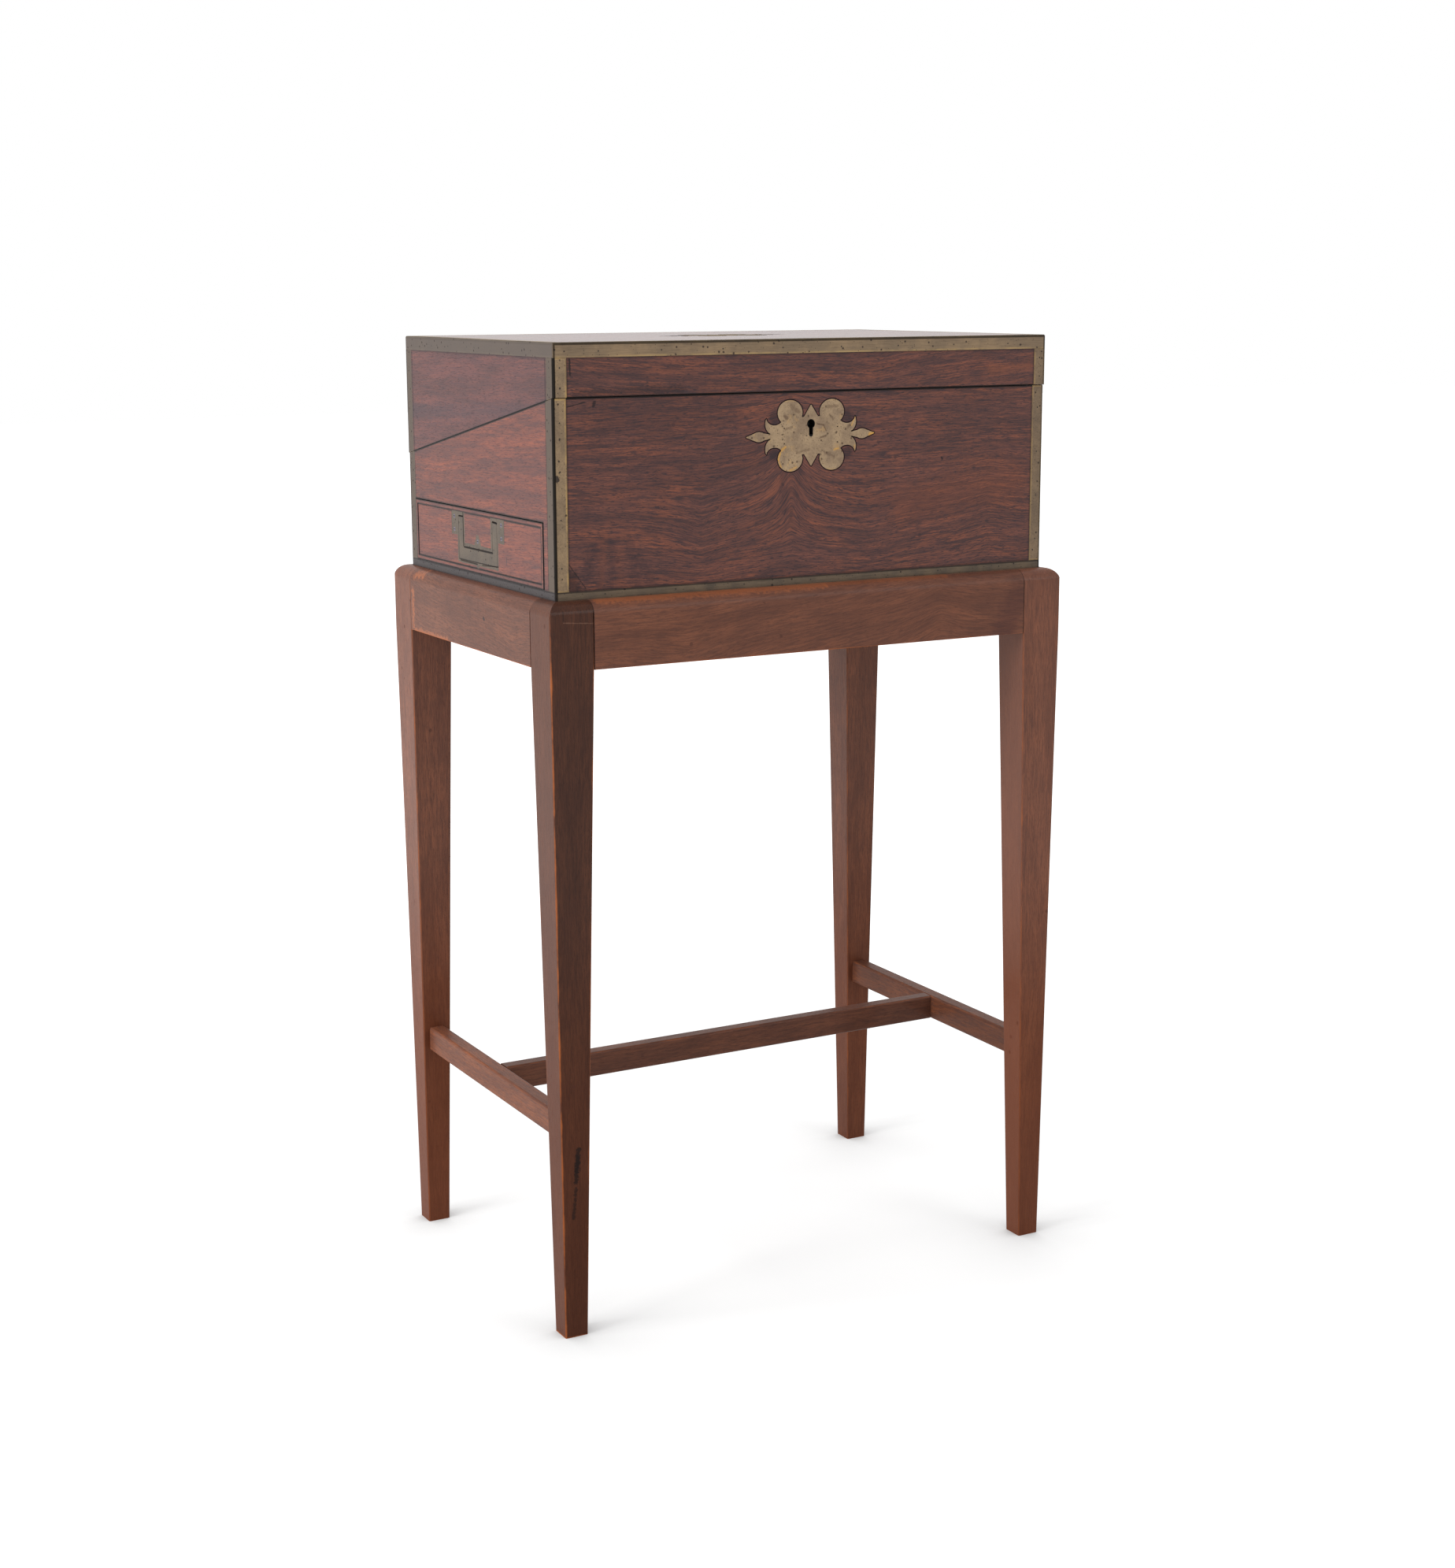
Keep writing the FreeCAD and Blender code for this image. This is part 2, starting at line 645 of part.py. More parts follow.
def strap_pins(name, depth_half, reach, counts):
    """Pins through both faces of the four corner straps of the body or the lid."""
    made = []
    for corner, (side, end) in CORNERS.items():
        start, stop = reach[corner.split("_")[0]]
        count = counts[corner.split("_")[0]]
        on_face = [f"{side} * (half_width - strap_width / 2)", f"{end} * ({depth_half})", "ALONG"]
        on_end = [f"{side} * half_width", f"{end} * ({depth_half} - end_pin_line)", "ALONG"]
        made += pins_along(f"{name}_{corner}_face", count, start, stop, on_face,
                           Y_AXIS if end == FRONT else -Y_AXIS)
        made += pins_along(f"{name}_{corner}_end", count, start, stop, on_end,
                           X_AXIS if side == LEFT else -X_AXIS)
    return made


def band_pins(name, depth_half, level, long_count, short_count):
    """Pins through the upright faces of an edge band."""
    made = []
    for end in (FRONT, REAR):
        made += pins_along(f"{name}_long_{'a' if end == FRONT else 'b'}", long_count,
                           "-half_width + strap_width", "half_width - strap_width",
                           ["ALONG", f"{end} * ({depth_half})", level],
                           Y_AXIS if end == FRONT else -Y_AXIS)
    for side in (LEFT, RIGHT):
        made += pins_along(f"{name}_short_{'a' if side == LEFT else 'b'}", short_count,
                           f"-{depth_half} + strap_return", f"{depth_half} - strap_return",
                           [f"{side} * half_width", "ALONG", level],
                           X_AXIS if side == LEFT else -X_AXIS)
    return made


seam_rear = "seat_level + box_height / 2"
base_reach = {"front": (foot_roof, "seam_front"), "rear": (foot_roof, seam_rear)}
lid_reach = {"front": ("seam_front", band_floor), "rear": (seam_rear, band_floor)}
base_pins = strap_pins("base_pin", "half_depth", base_reach, {"front": 4, "rear": 3})
base_pins += band_pins("foot_pin", "half_depth", "(stand_height + seat_level + bottom_band) / 2", 7, 4)
lid_pins = strap_pins("lid_pin", "lid_half_depth", lid_reach, {"front": 2, "rear": 3})
lid_pins += band_pins("top_pin", "lid_half_depth", "box_top - top_pin_line", 8, 5)
base_pin_group = group("base_pin_group", *base_pins)
lid_pin_group = group("lid_pin_group", *lid_pins)


# --------------------------------------------------------------------------------------- ornament
def oval(name, spot, half, high, length):
    """Upright oval drawn backwards along y: half its width and half its height about a spot."""
    ring = doc.addObject("Part::Ellipse", f"{name}_ring")
    bind(ring, {"MajorRadius": half, "MinorRadius": high})
    return bar(name, place(ring, spot, FreeCAD.Rotation(X_AXIS, 90)), length, Y_AXIS)


def ornament(name, thickness):
    """Sawn brass plate: four oval lobes, two points, four horns and two leaf finials.

    It is drawn about its own middle, across along x and up along z, its face at y = 0 towards -y.
    """
    depth = ("0", thickness)
    back = (f"-({thickness})", "0")
    blanks = [slab(f"{name}_body", ("-horn_across", "horn_across"), depth, ("-wing_half", "wing_half"))]
    pieces = [
        slab(f"{name}_middle", ("-lobe_across - lobe_web", "lobe_across + lobe_web"), depth,
             ("-horn_up", "horn_up")),
        slab(f"{name}_waist", ("-lobe_across", "lobe_across"), depth, ("-notch_up", "notch_up")),
    ]
    hollows = []
    for up_name, up in (("low", "-1"), ("high", "1")):
        run = ("notch_up - over", "point_up")
        point = doc.addObject("Part::Wedge", f"{name}_point_{up_name}")
        bind(point, {"Xmin": "-point_half", "Xmax": "point_half", "X2min": "-point_blunt",
                     "X2max": "point_blunt", "Ymin": run[0], "Ymax": run[1],
                     "Zmin": back[0] if up == "1" else "0", "Zmax": "0" if up == "1" else thickness,
                     "Z2min": back[0] if up == "1" else "0", "Z2max": "0" if up == "1" else thickness})
        place(point, ("0", "0", "0"), FreeCAD.Rotation(X_AXIS, 90 if up == "1" else -90))
        pieces.append(point)
        for across_name, across in (("left", "-1"), ("right", "1")):
            tag = f"{name}_{up_name}_{across_name}"
            horn, lobe, hollow = ((f"{across} * {form}_across", "0", f"{up} * {form}_up")
                                  for form in ("horn", "lobe", "hollow"))
            blanks.append(rod(f"{tag}_horn", horn, "horn_radius", thickness, Y_AXIS))
            pieces.append(oval(f"{tag}_lobe", lobe, "lobe_half", "lobe_high", thickness))
            hollows.append(oval(f"{tag}_hollow", hollow, "hollow_half", "hollow_high", thickness))
    leaf_steps = (
        ("leaf_root", "leaf_root_half", "neck_across", "neck_half"),
        ("neck_across", "neck_half", "leaf_belly - leaf_shoulder", "leaf_shoulder_half"),
        ("leaf_belly + leaf_taper", "leaf_taper_half", "leaf_across", "point_blunt"))
    for across_name, across, turn, span in (("left", "-1", 90, depth), ("right", "1", -90, back)):
        spot = (f"{across} * leaf_belly", "0", "0")
        pieces.append(oval(f"{name}_leaf_{across_name}", spot, "leaf_half", "leaf_high", thickness))
        for index, (start, half_start, stop, half_stop) in enumerate(leaf_steps):
            step = wedge(f"{name}_leaf_{across_name}_{index}", span, (start, stop),
                         (f"-({half_start})", half_start), (f"-({half_stop})", half_stop))
            pieces.append(place(step, ("0", "0", "0"), FreeCAD.Rotation(Z_AXIS, turn)))
    arms = cut(f"{name}_arms", join(f"{name}_blank", *blanks), *hollows)
    return join(name, arms, *pieces)


keyhole = join("keyhole",
               rod("keyhole_head", ("0", "-half_depth - over", "keyhole_level"), "keyhole_radius",
                   "lock_skin + lock_shell + 2 * over", Y_AXIS),
               slab("keyhole_slot_cut", ("-keyhole_slot / 2", "keyhole_slot / 2"),
                    ("-half_depth - over", "-half_depth + lock_skin + lock_shell + over"),
                    ("keyhole_level - keyhole_drop", "keyhole_level")))
escutcheon_form = place(ornament("escutcheon_form", "plate_inlay"),
                        ("0", "-half_depth", "escutcheon_level"))
cartouche = place(ornament("cartouche", "plate_inlay"), ("0", "0", "box_top"),
                  FreeCAD.Rotation(X_AXIS, -90))


# --------------------------------------------------------------------------------------- tilted work
def tilted(name, x_span, along, rise, y_start):
    """Box squared to the seam: along is measured down the seam and rise out of it from y_start."""
    piece = doc.addObject("Part::Box", name)
    spans = dict(zip(("Length", "Width", "Height"), (x_span, along, rise)))
    bind(piece, {field: f"({high}) - ({low})" for field, (low, high) in spans.items()})
    low_y = f"({y_start}) + ({along[0]}) * cos(seam_angle) + ({rise[0]}) * sin(seam_angle)"
    low_z = f"{seam_at(y_start)} - ({along[0]}) * sin(seam_angle) + ({rise[0]}) * cos(seam_angle)"
    place(piece, (x_span[0], low_y, low_z), FreeCAD.Rotation(X_AXIS, 10))
    return bind(piece, {"Placement.Rotation.Angle": "-seam_angle"})


# --------------------------------------------------------------------------------------- lock
lock_y = ("-half_depth + lock_skin", "-inner_half_depth")
lock_x = ("-lock_width / 2", "lock_width / 2")
lock_z = ("seam_front - lock_height", "seam_front + over")
lock_form = within("lock_form", slab("lock_block", lock_x, lock_y, lock_z), base_wedge)
lock_cavity = slab("lock_cavity", ("-lock_width / 2 + lock_shell", "lock_width / 2 - lock_shell"),
                   ("-half_depth + lock_skin + lock_shell", "-inner_half_depth - lock_shell"),
                   ("seam_front - lock_height + lock_shell", f"{seam_at('-inner_half_depth')} - lock_roof"))
staple_root = "lock_middle + slope * staple_reach / 2"
eye_y = f"{staple_root} - eye_drop * sin(seam_angle)"
eye_z = f"({seam_at(staple_root)} - eye_drop * cos(seam_angle))"
staples = []
staple_slots = []
for index, start in enumerate(("-staple_pitch / 2", "staple_pitch / 2")):
    x_span = (start, f"{start} + staple_thickness")
    loop = tilted(f"staple_loop_{index}", x_span, ("-staple_width / 2", "staple_width / 2"),
                  ("-staple_reach", "seam_gap + link_plate / 2"), staple_root)
    eye = tilted(f"staple_eye_{index}", (f"{start} - over", f"{start} + staple_thickness + over"),
                 ("-staple_width / 2 + staple_wall", "staple_width / 2 - staple_wall"),
                 ("-eye_drop - eye_height / 2", "-eye_drop + eye_height / 2"), staple_root)
    staples.append(cut(f"staple_{index}", loop, eye))
    staple_slots.append(tilted(f"staple_slot_{index}",
                               (f"{start} - slot_room", f"{start} + staple_thickness + slot_room"),
                               ("-staple_width / 2 - slot_room", "staple_width / 2 + slot_room"),
                               ("-staple_reach - slot_room", "2 * over"), staple_root))
drill_pin = rod("drill_pin", ("0", "-inner_half_depth - lock_shell / 2", "keyhole_level"),
                "hinge_pin_radius", "lock_thickness - 3 * lock_shell", -Y_AXIS)
hollow_case = cut("hollow_case", lock_form, lock_cavity, keyhole, *staple_slots)
node(join("case_with_pin", hollow_case, drill_pin), "lock_case")
link_blank = tilted("link_blank", ("-link_width / 2", "link_width / 2"),
                    ("-link_deep / 2", "link_deep / 2"), ("0", "seam_gap + link_plate"), staple_root)
link_bed = within("link_bed", link_blank, lid_wedge)
node(join("link_with_staples", link_bed, *staples), "lock_link_plate")

bolt_y = (f"{eye_y} - bolt_thickness / 2", f"{eye_y} + bolt_thickness / 2")
bolt_pieces = [slab("bolt_body", ("-bolt_reach",
                                  "staple_pitch / 2 + staple_thickness"), bolt_y,
                    (f"{eye_z} - bolt_drop - bolt_height", f"{eye_z} - bolt_drop"))]
for index, start in enumerate(("-staple_pitch / 2", "staple_pitch / 2")):
    hook_start = f"{start} - hook_gap - hook_length"
    bolt_pieces.append(slab(f"bolt_post_{index}", (f"{hook_start} - bolt_post", hook_start), bolt_y,
                            (f"{eye_z} - bolt_drop", f"{eye_z} + hook_height / 2")))
    bolt_pieces.append(slab(f"bolt_hook_{index}", (hook_start, f"{start} - hook_gap"), bolt_y,
                            (f"{eye_z} - hook_height / 2", f"{eye_z} + hook_height / 2")))
node(join("bolt", *bolt_pieces), "lock_bolt")


# --------------------------------------------------------------------------------------- hinges
base_leaves, lid_leaves, base_beds, lid_beds = [], [], [], []
hinge_z = f"({seam_at('hinge_y')} + seam_gap / 2)"
for side_name, side in (("left", LEFT), ("right", RIGHT)):
    start = f"({side} * hinge_place - hinge_length / 2)"
    third = "hinge_length / 3"
    ends = [(start, f"{start} + {third} - knuckle_gap / 2"),
            (f"{start} + 2 * {third} + knuckle_gap / 2", f"{start} + hinge_length")]
    middle = (f"{start} + {third} + knuckle_gap / 2", f"{start} + 2 * {third} - knuckle_gap / 2")
    tag = f"hinge_{side_name}"

    def barrel(name, span, radius, widen="0"):
        """Round bar on the hinge line over a span of x."""
        low, high = span
        return rod(name, (f"{low} - {widen}", "hinge_y", hinge_z), radius,
                   f"({high}) - ({low}) + 2 * {widen}", X_AXIS)

    reach = "-hinge_offset - lid_overhang - hinge_reach"
    x_span = (start, f"{start} + hinge_length")
    low_leaf = tilted(f"{tag}_low_leaf", x_span, (reach, "0"), ("-hinge_leaf", "0"), "hinge_y")
    high_leaf = tilted(f"{tag}_high_leaf", x_span, (reach, "0"), ("seam_gap", "seam_gap + hinge_leaf"),
                       "hinge_y")
    base_beds.append(low_leaf)
    lid_beds += [high_leaf, barrel(f"{tag}_cove", x_span, "knuckle_radius + knuckle_gap", "knuckle_gap")]
    notch_middle = barrel(f"{tag}_notch_middle", middle, "knuckle_radius + knuckle_gap", "knuckle_gap")
    notches = [barrel(f"{tag}_notch_{index}", span, "knuckle_radius + knuckle_gap", "knuckle_gap")
               for index, span in enumerate(ends)]
    knuckles = [barrel(f"{tag}_knuckle_{index}", span, "knuckle_radius") for index, span in enumerate(ends)]
    pin = barrel(f"{tag}_pin", x_span, "hinge_pin_radius")
    base_leaves.append(join(f"{tag}_base", cut(f"{tag}_base_leaf", low_leaf, notch_middle), *knuckles, pin))
    lid_knuckle = join(f"{tag}_lid_whole", cut(f"{tag}_lid_leaf", high_leaf, *notches),
                       barrel(f"{tag}_lid_knuckle", middle, "knuckle_radius"))
    bore = barrel(f"{tag}_bore", middle, "hinge_pin_radius + hinge_pin_clearance", "knuckle_gap")
    lid_leaves.append(cut(f"{tag}_lid", lid_knuckle, bore))
node(group("hinge_base_group", *base_leaves), "hinge_base_leaves")
node(group("hinge_lid_group", *lid_leaves), "hinge_lid_leaves")


# --------------------------------------------------------------------------------------- base boards
inner_x = ("-inner_half_width", "inner_half_width")
inner_y = ("-inner_half_depth", "inner_half_depth")
tall = ("seat_level", "box_top")
opening_y = ("opening_low", "opening_high")
opening_z = ("opening_level", "dust_level")


def outer_board(name, x_span, y_span, z_span, space, tools):
    """Board of the outer walls, kept inside the rounded form and let in for what it carries."""
    return cut(name, within(f"{name}_form", slab(f"{name}_plank", x_span, y_span, z_span), space), *tools)


whole_x = ("-half_width", "half_width")
base_brass = [base_band, *base_straps.values(), base_pin_group]
lid_brass = [lid_band, *lid_straps.values(), lid_pin_group]
node(cut("escutcheon_pierced", escutcheon_form, keyhole), "escutcheon")
node(outer_board("base_front", whole_x, ("-half_depth", "-inner_half_depth"), tall, base_space,
                 [*base_brass, escutcheon_form, keyhole, lock_form]), "base_front_board")
node(outer_board("base_rear", whole_x, ("inner_half_depth", "half_depth"), tall, base_space,
                 [*base_brass, *base_beds]), "base_rear_board")
drawer_way = slab("drawer_way", ("-half_width - over", "-inner_half_width + over"), opening_y, opening_z)
node(outer_board("base_left", ("-half_width", "-inner_half_width"), inner_y, tall, base_space,
                 [*base_brass, drawer_way]), "base_left_end")
node(outer_board("base_right", ("inner_half_width", "half_width"), inner_y, tall, base_space,
                 base_brass), "base_right_end")
node(cut("bottom_cut", slab("bottom", inner_x, inner_y, ("seat_level", "opening_level")), base_band),
     "base_bottom_board")
node(slab("dust", inner_x, inner_y, ("dust_level", "dust_top")), "dust_board")
guide_z = ("opening_level", "opening_level + guide_height")
inner_strips = [slab("guide_front", inner_x, ("-inner_half_depth", "opening_low"), guide_z),
                slab("guide_rear", inner_x, ("opening_high", "inner_half_depth"), guide_z)]
for name, strap in base_straps.items():
    node(cut(f"{strap.Name}_holed", strap, base_pin_group), f"base_strap_{name}")
node(cut("base_band_holed", base_band, base_pin_group), "base_band")
node(base_pin_group, "base_strap_pins")

# --------------------------------------------------------------------------------------- lid boards
wall_z = ("seat_level", "box_top - top_board")
node(cut("lid_top_cut", within("lid_top_form", slab("lid_top", whole_x, ("-lid_half_depth", "lid_half_depth"),
                                                    ("box_top - top_board", "box_top")), lid_space),
         *lid_brass, cartouche), "lid_top_board")
node(outer_board("lid_front", whole_x, ("-lid_half_depth", "-inner_half_depth"), wall_z, lid_space,
                 [*lid_brass, link_bed, *staples]), "lid_front_board")
node(outer_board("lid_rear", whole_x, ("inner_half_depth", "lid_half_depth"), wall_z, lid_space,
                 [*lid_brass, *lid_beds]), "lid_rear_board")
for name, x_span in (("left", ("-half_width", "-inner_half_width")),
                     ("right", ("inner_half_width", "half_width"))):
    node(outer_board(f"lid_{name}", x_span, inner_y, wall_z, lid_space, lid_brass), f"lid_{name}_end")
for name, strap in lid_straps.items():
    node(cut(f"{strap.Name}_holed", strap, lid_pin_group), f"lid_strap_{name}")
node(cut("lid_band_holed", lid_band, lid_pin_group), "lid_band")
node(lid_pin_group, "lid_strap_pins")
node(cartouche, "lid_cartouche")

# --------------------------------------------------------------------------------------- inside
fit_x = ("-inner_half_width + tray_fit", "inner_half_width - tray_fit")
tray_y = ("-inner_half_depth + tray_fit", "tray_rear - tray_fit")
tray_middle = "-inner_half_depth + tray_width / 2"
tray_blank = within("tray_blank", slab("tray_plank", fit_x, tray_y, ("tray_level", "seam_front")),
                    sloped("tray_space", full_x, base_y, "-box_height", "-tray_drop"))
trough = rod("trough", ("-trough_half_length", tray_middle,
                        f"{seam_at(tray_middle)} - tray_drop - trough_drop"), "trough_radius",
             "2 * trough_half_length", X_AXIS)
wells = []
bottles = []
caps = []
for side_name, side in (("left", LEFT), ("right", RIGHT)):
    middle_x = f"{side} * well_place"
    half = "well_side / 2"
    wells.append(slab(f"well_{side_name}", (f"{middle_x} - {half}", f"{middle_x} + {half}"),
                      (f"{tray_middle} - {half}", f"{tray_middle} + {half}"),
                      ("well_floor", "seam_front")))
    snug = "well_side / 2 - bottle_fit"
    glass = rounded_outline(f"bottle_outline_{side_name}", (f"2 * ({snug})", f"2 * ({snug})"),
                            "bottle_corner", (f"{middle_x} - ({snug})", f"{tray_middle} - ({snug})",
                                              "well_floor"))
    body = bar(f"bottle_body_{side_name}", glass, "bottle_height")
    neck = rod(f"bottle_neck_{side_name}", (middle_x, tray_middle, "well_floor + bottle_height - over"),
               "neck_radius", "neck_height + over")
    ink = rod(f"ink_space_{side_name}", (middle_x, tray_middle, "well_floor + bottle_base"),
              "ink_radius", "bottle_height - 2 * bottle_base")
    mouth = rod(f"ink_mouth_{side_name}", (middle_x, tray_middle, "well_floor + bottle_base"),
                "ink_mouth", "bottle_height + neck_height")
    bottles.append(cut(f"bottle_{side_name}", join(f"bottle_whole_{side_name}", body, neck), ink, mouth))
    caps.append(rod(f"cap_{side_name}", (middle_x, tray_middle, "well_floor + bottle_height + neck_height"),
                    "cap_radius", "cap_height"))
node(cut("tray", tray_blank, trough, *wells), "pen_tray")
node(group("bottles", *bottles), "inkwell_bottles")
node(group("caps", *caps), "inkwell_caps")

flap_under = "-flap_drop - leather - flap"
partition_y = ("tray_rear", "tray_rear + partition")
node(within("partition_trim", slab("partition_plank", inner_x, partition_y, ("dust_top", "seam_front")),
            sloped("under_flap", full_x, base_y, "-box_height", flap_under)), "tray_partition")
bearer_z = ("dust_top", "tray_level")
inner_strips.append(slab("bearer_front", inner_x, ("-inner_half_depth", "-inner_half_depth + ledge_width"),
                         bearer_z))
inner_strips.append(slab("bearer_rear", inner_x, ("tray_rear - ledge_width", "tray_rear"), bearer_z))
flap_x = ("-inner_half_width + flap_fit", "inner_half_width - flap_fit")
flap_y = ("tray_rear + flap_fit", "inner_half_depth - flap_fit")
leather_x = ("-inner_half_width + leather_margin", "inner_half_width - leather_margin")
leather_y = ("tray_rear + leather_margin", "inner_half_depth - leather_margin")
top_leather = sloped("upper_hide", leather_x, leather_y, "-flap_drop - leather", "-flap_drop")
node(cut("upper_panel", sloped("upper_plank", flap_x, flap_y, flap_under, "-flap_drop"), top_leather),
     "upper_flap")
node(top_leather, "upper_flap_leather")
ledge_y = ("tray_rear + partition", "inner_half_depth")
for side_name, side in (("left", LEFT), ("right", RIGHT)):
    ledge_x = mirrored_span("inner_half_width - ledge_width", "inner_half_width", side)
    inner_strips.append(sloped(f"ledge_{side_name}", ledge_x, ledge_y, f"{flap_under} - ledge_height",
                               flap_under))
node(group("strips", *inner_strips), "base_inner_strips")

lid_flap_low = "seam_gap + flap_drop"
lid_flap_y = ("-inner_half_depth + flap_fit", "inner_half_depth - flap_fit")
lid_hide_y = ("-inner_half_depth + leather_margin", "inner_half_depth - leather_margin")
low_leather = sloped("lower_hide", leather_x, lid_hide_y, lid_flap_low, f"{lid_flap_low} + leather")
node(cut("lower_panel", sloped("lower_plank", flap_x, lid_flap_y, lid_flap_low,
                               f"{lid_flap_low} + leather + flap"), low_leather), "lower_flap")
node(low_leather, "lower_flap_leather")
lid_ledges = []
for side_name, side in (("left", LEFT), ("right", RIGHT)):
    ledge_x = mirrored_span("inner_half_width - ledge_width", "inner_half_width", side)
    lid_ledges.append(sloped(f"lid_ledge_{side_name}", ledge_x, inner_y, f"{lid_flap_low} + leather + flap",
                             f"{lid_flap_low} + leather + flap + ledge_height"))
node(group("lid_ledges", *lid_ledges), "lid_flap_ledges")

# --------------------------------------------------------------------------------------- drawer
front_x = ("-half_width", "-half_width + drawer_front")
front_y = ("opening_low + drawer_gap", "opening_high - drawer_gap")
front_z = ("drawer_level", "drawer_level + front_height")
bead_x = ("-half_width - bead_proud", "-half_width + bead_depth")
bead_outer = slab("bead_outer", bead_x, front_y, front_z)
bead_inner = slab("bead_inner", ("-half_width - bead_proud - over", "-half_width + bead_depth + over"),
                  ("opening_low + drawer_gap + bead_width", "opening_high - drawer_gap - bead_width"),
                  ("drawer_level + bead_width", "drawer_level + front_height - bead_width"))
bead = cut("bead", bead_outer, bead_inner)

plate_x = ("-half_width", "-half_width + plate_thickness")


def about_middle(half):
    """Span of y either side of the handle's middle."""
    return (f"handle_middle - ({half})", f"handle_middle + ({half})")


lower_plate = slab("lower_plate", plate_x, about_middle("plate_span / 2"),
                   ("handle_top - plate_height", "handle_top"))
ears = slab("ears", plate_x, about_middle("ear_span / 2"), ("handle_top - ear_height", "handle_top"))
opening_floor = "(bail_level + grip_bar + plate_lip)"
opening_half = "(grip_span / 2 - plate_lip)"
above_plate = "handle_top + over"
grip_gap = slab("grip_gap", ("-half_width - over", "-half_width + plate_thickness + over"),
                about_middle(opening_half), (opening_floor, above_plate))


def taper(name, low, half_low, high, half_high):
    """Upright plate that narrows or widens evenly about the handle's middle as it rises."""
    span = ("0", "plate_thickness")
    piece = wedge(name, span, (low, high), (f"-({half_low})", half_low), (f"-({half_high})", half_high))
    return place(piece, ("-half_width", "handle_middle", "0"), FreeCAD.Rotation(X_AXIS, 90))


tongue = taper("tongue", f"{opening_floor} - over", "tongue_width / 2", f"{opening_floor} + tongue_height",
               "tongue_tip")
nib = taper("nib", "handle_top - plate_height - nib_drop", "point_blunt",
            "handle_top - plate_height + over", "nib_width / 2")
plate_form = join("plate_form", cut("plate_open", join("plate_whole", lower_plate, ears), grip_gap),
                  tongue, nib)
bed_x = ("-half_width - over", "-half_width + bail_thickness + bail_gap")
bed_island = slab("bed_island", ("-half_width - 2 * over", "-half_width + plate_thickness + over"),
                  about_middle("grip_span / 2 - bail_gap"), ("bail_level + grip_bar + bail_gap", above_plate))
bed = cut("bail_bed", slab("bed_outer", bed_x, about_middle("bail_half + bail_gap"),
                           ("bail_level - bail_gap", "pivot_level + bail_thickness / 2 + bail_gap")),
          bed_island)
bore = rod("pivot_bore", ("pivot_depth", "handle_middle - bail_half - pivot_length - pivot_clearance",
                          "pivot_level"), "pivot_radius + pivot_clearance",
           "2 * (bail_half + pivot_length + pivot_clearance)", Y_AXIS)
screws = []
slots = []


def handle_screw(tag, along, level):
    """Countersunk screw through the handle plate into the drawer's front, with a straight slot."""
    shank = rod(tag, ("-half_width", along, level), "screw_radius", "screw_length", X_AXIS)
    slot = slab(f"{tag}_slot", ("-half_width - over", "-half_width + screw_slot_depth"),
                (f"{along} - screw_radius - over", f"{along} + screw_radius + over"),
                (f"{level} - screw_slot / 2", f"{level} + screw_slot / 2"))
    screws.append(cut(f"{tag}_cut", shank, slot))
    slots.append(shank)


for ear_index, ear in enumerate((LEFT, RIGHT)):
    for row_index, drop in enumerate(("screw_high", "screw_low")):
        handle_screw(f"handle_screw_{ear_index}_{row_index}",
                     f"handle_middle + {ear} * (ear_span / 2 - screw_inset)", f"handle_top - {drop}")
handle_screw("tongue_screw", "handle_middle", f"{opening_floor} + tongue_screw_rise")
screw_group = group("screw_group", *screws)
screw_holes = group("screw_holes", *slots)
node(cut("plate", plate_form, bed, bore, screw_holes), "handle_plate")
node(screw_group, "handle_screws")

bail_x = ("-half_width", "-half_width + bail_thickness")
bail_outer = slab("bail_outer", bail_x, about_middle("bail_half"), ("bail_level", "pivot_level"))
bail_rounds = rod("bail_rounds", ("pivot_depth", "handle_middle - bail_half", "pivot_level"),
                  "bail_thickness / 2", "2 * bail_half", Y_AXIS)
bail_pins = rod("bail_pins", ("pivot_depth", "handle_middle - bail_half - pivot_length", "pivot_level"),
                "pivot_radius", "2 * (bail_half + pivot_length)", Y_AXIS)
bail_hollow = slab("bail_hollow", ("-half_width - over", "-half_width + bail_thickness + over"),
                   about_middle("grip_span / 2"), ("bail_level + grip_bar", above_plate))
node(cut("bail", join("bail_whole", bail_outer, bail_rounds, bail_pins), bail_hollow), "handle_bail")
front_blank = slab("front_blank", front_x, front_y, front_z)
node(cut("front", front_blank, bead, plate_form, screw_holes), "drawer_front")
node(cut("bead_notched", bead, plate_form), "drawer_bead")
side_x = ("-half_width + drawer_front", "-half_width + drawer_length")
side_z = ("drawer_level", "drawer_level + side_height")
side_low = ("opening_low + drawer_gap", "opening_low + drawer_gap + drawer_side")
side_high = ("opening_high - drawer_gap - drawer_side", "opening_high - drawer_gap")
floor_y = (f"{side_low[1]} - drawer_groove", f"{side_high[0]} + drawer_groove")
floor_z = ("drawer_level + drawer_groove", "drawer_level + drawer_groove + drawer_bottom")
back_x = (f"{side_x[1]} - drawer_side", side_x[1])
drawer_floor = slab("drawer_floor", (side_x[0], back_x[0]), floor_y, floor_z)
node(drawer_floor, "drawer_bottom")
for name, side_y in (("front", side_low), ("rear", side_high)):
    node(cut(f"side_{name}", slab(f"side_{name}_plank", side_x, side_y, side_z), drawer_floor),
         f"drawer_side_{name}")
node(slab("back_plank", back_x, (side_low[1], side_high[0]), side_z), "drawer_back")

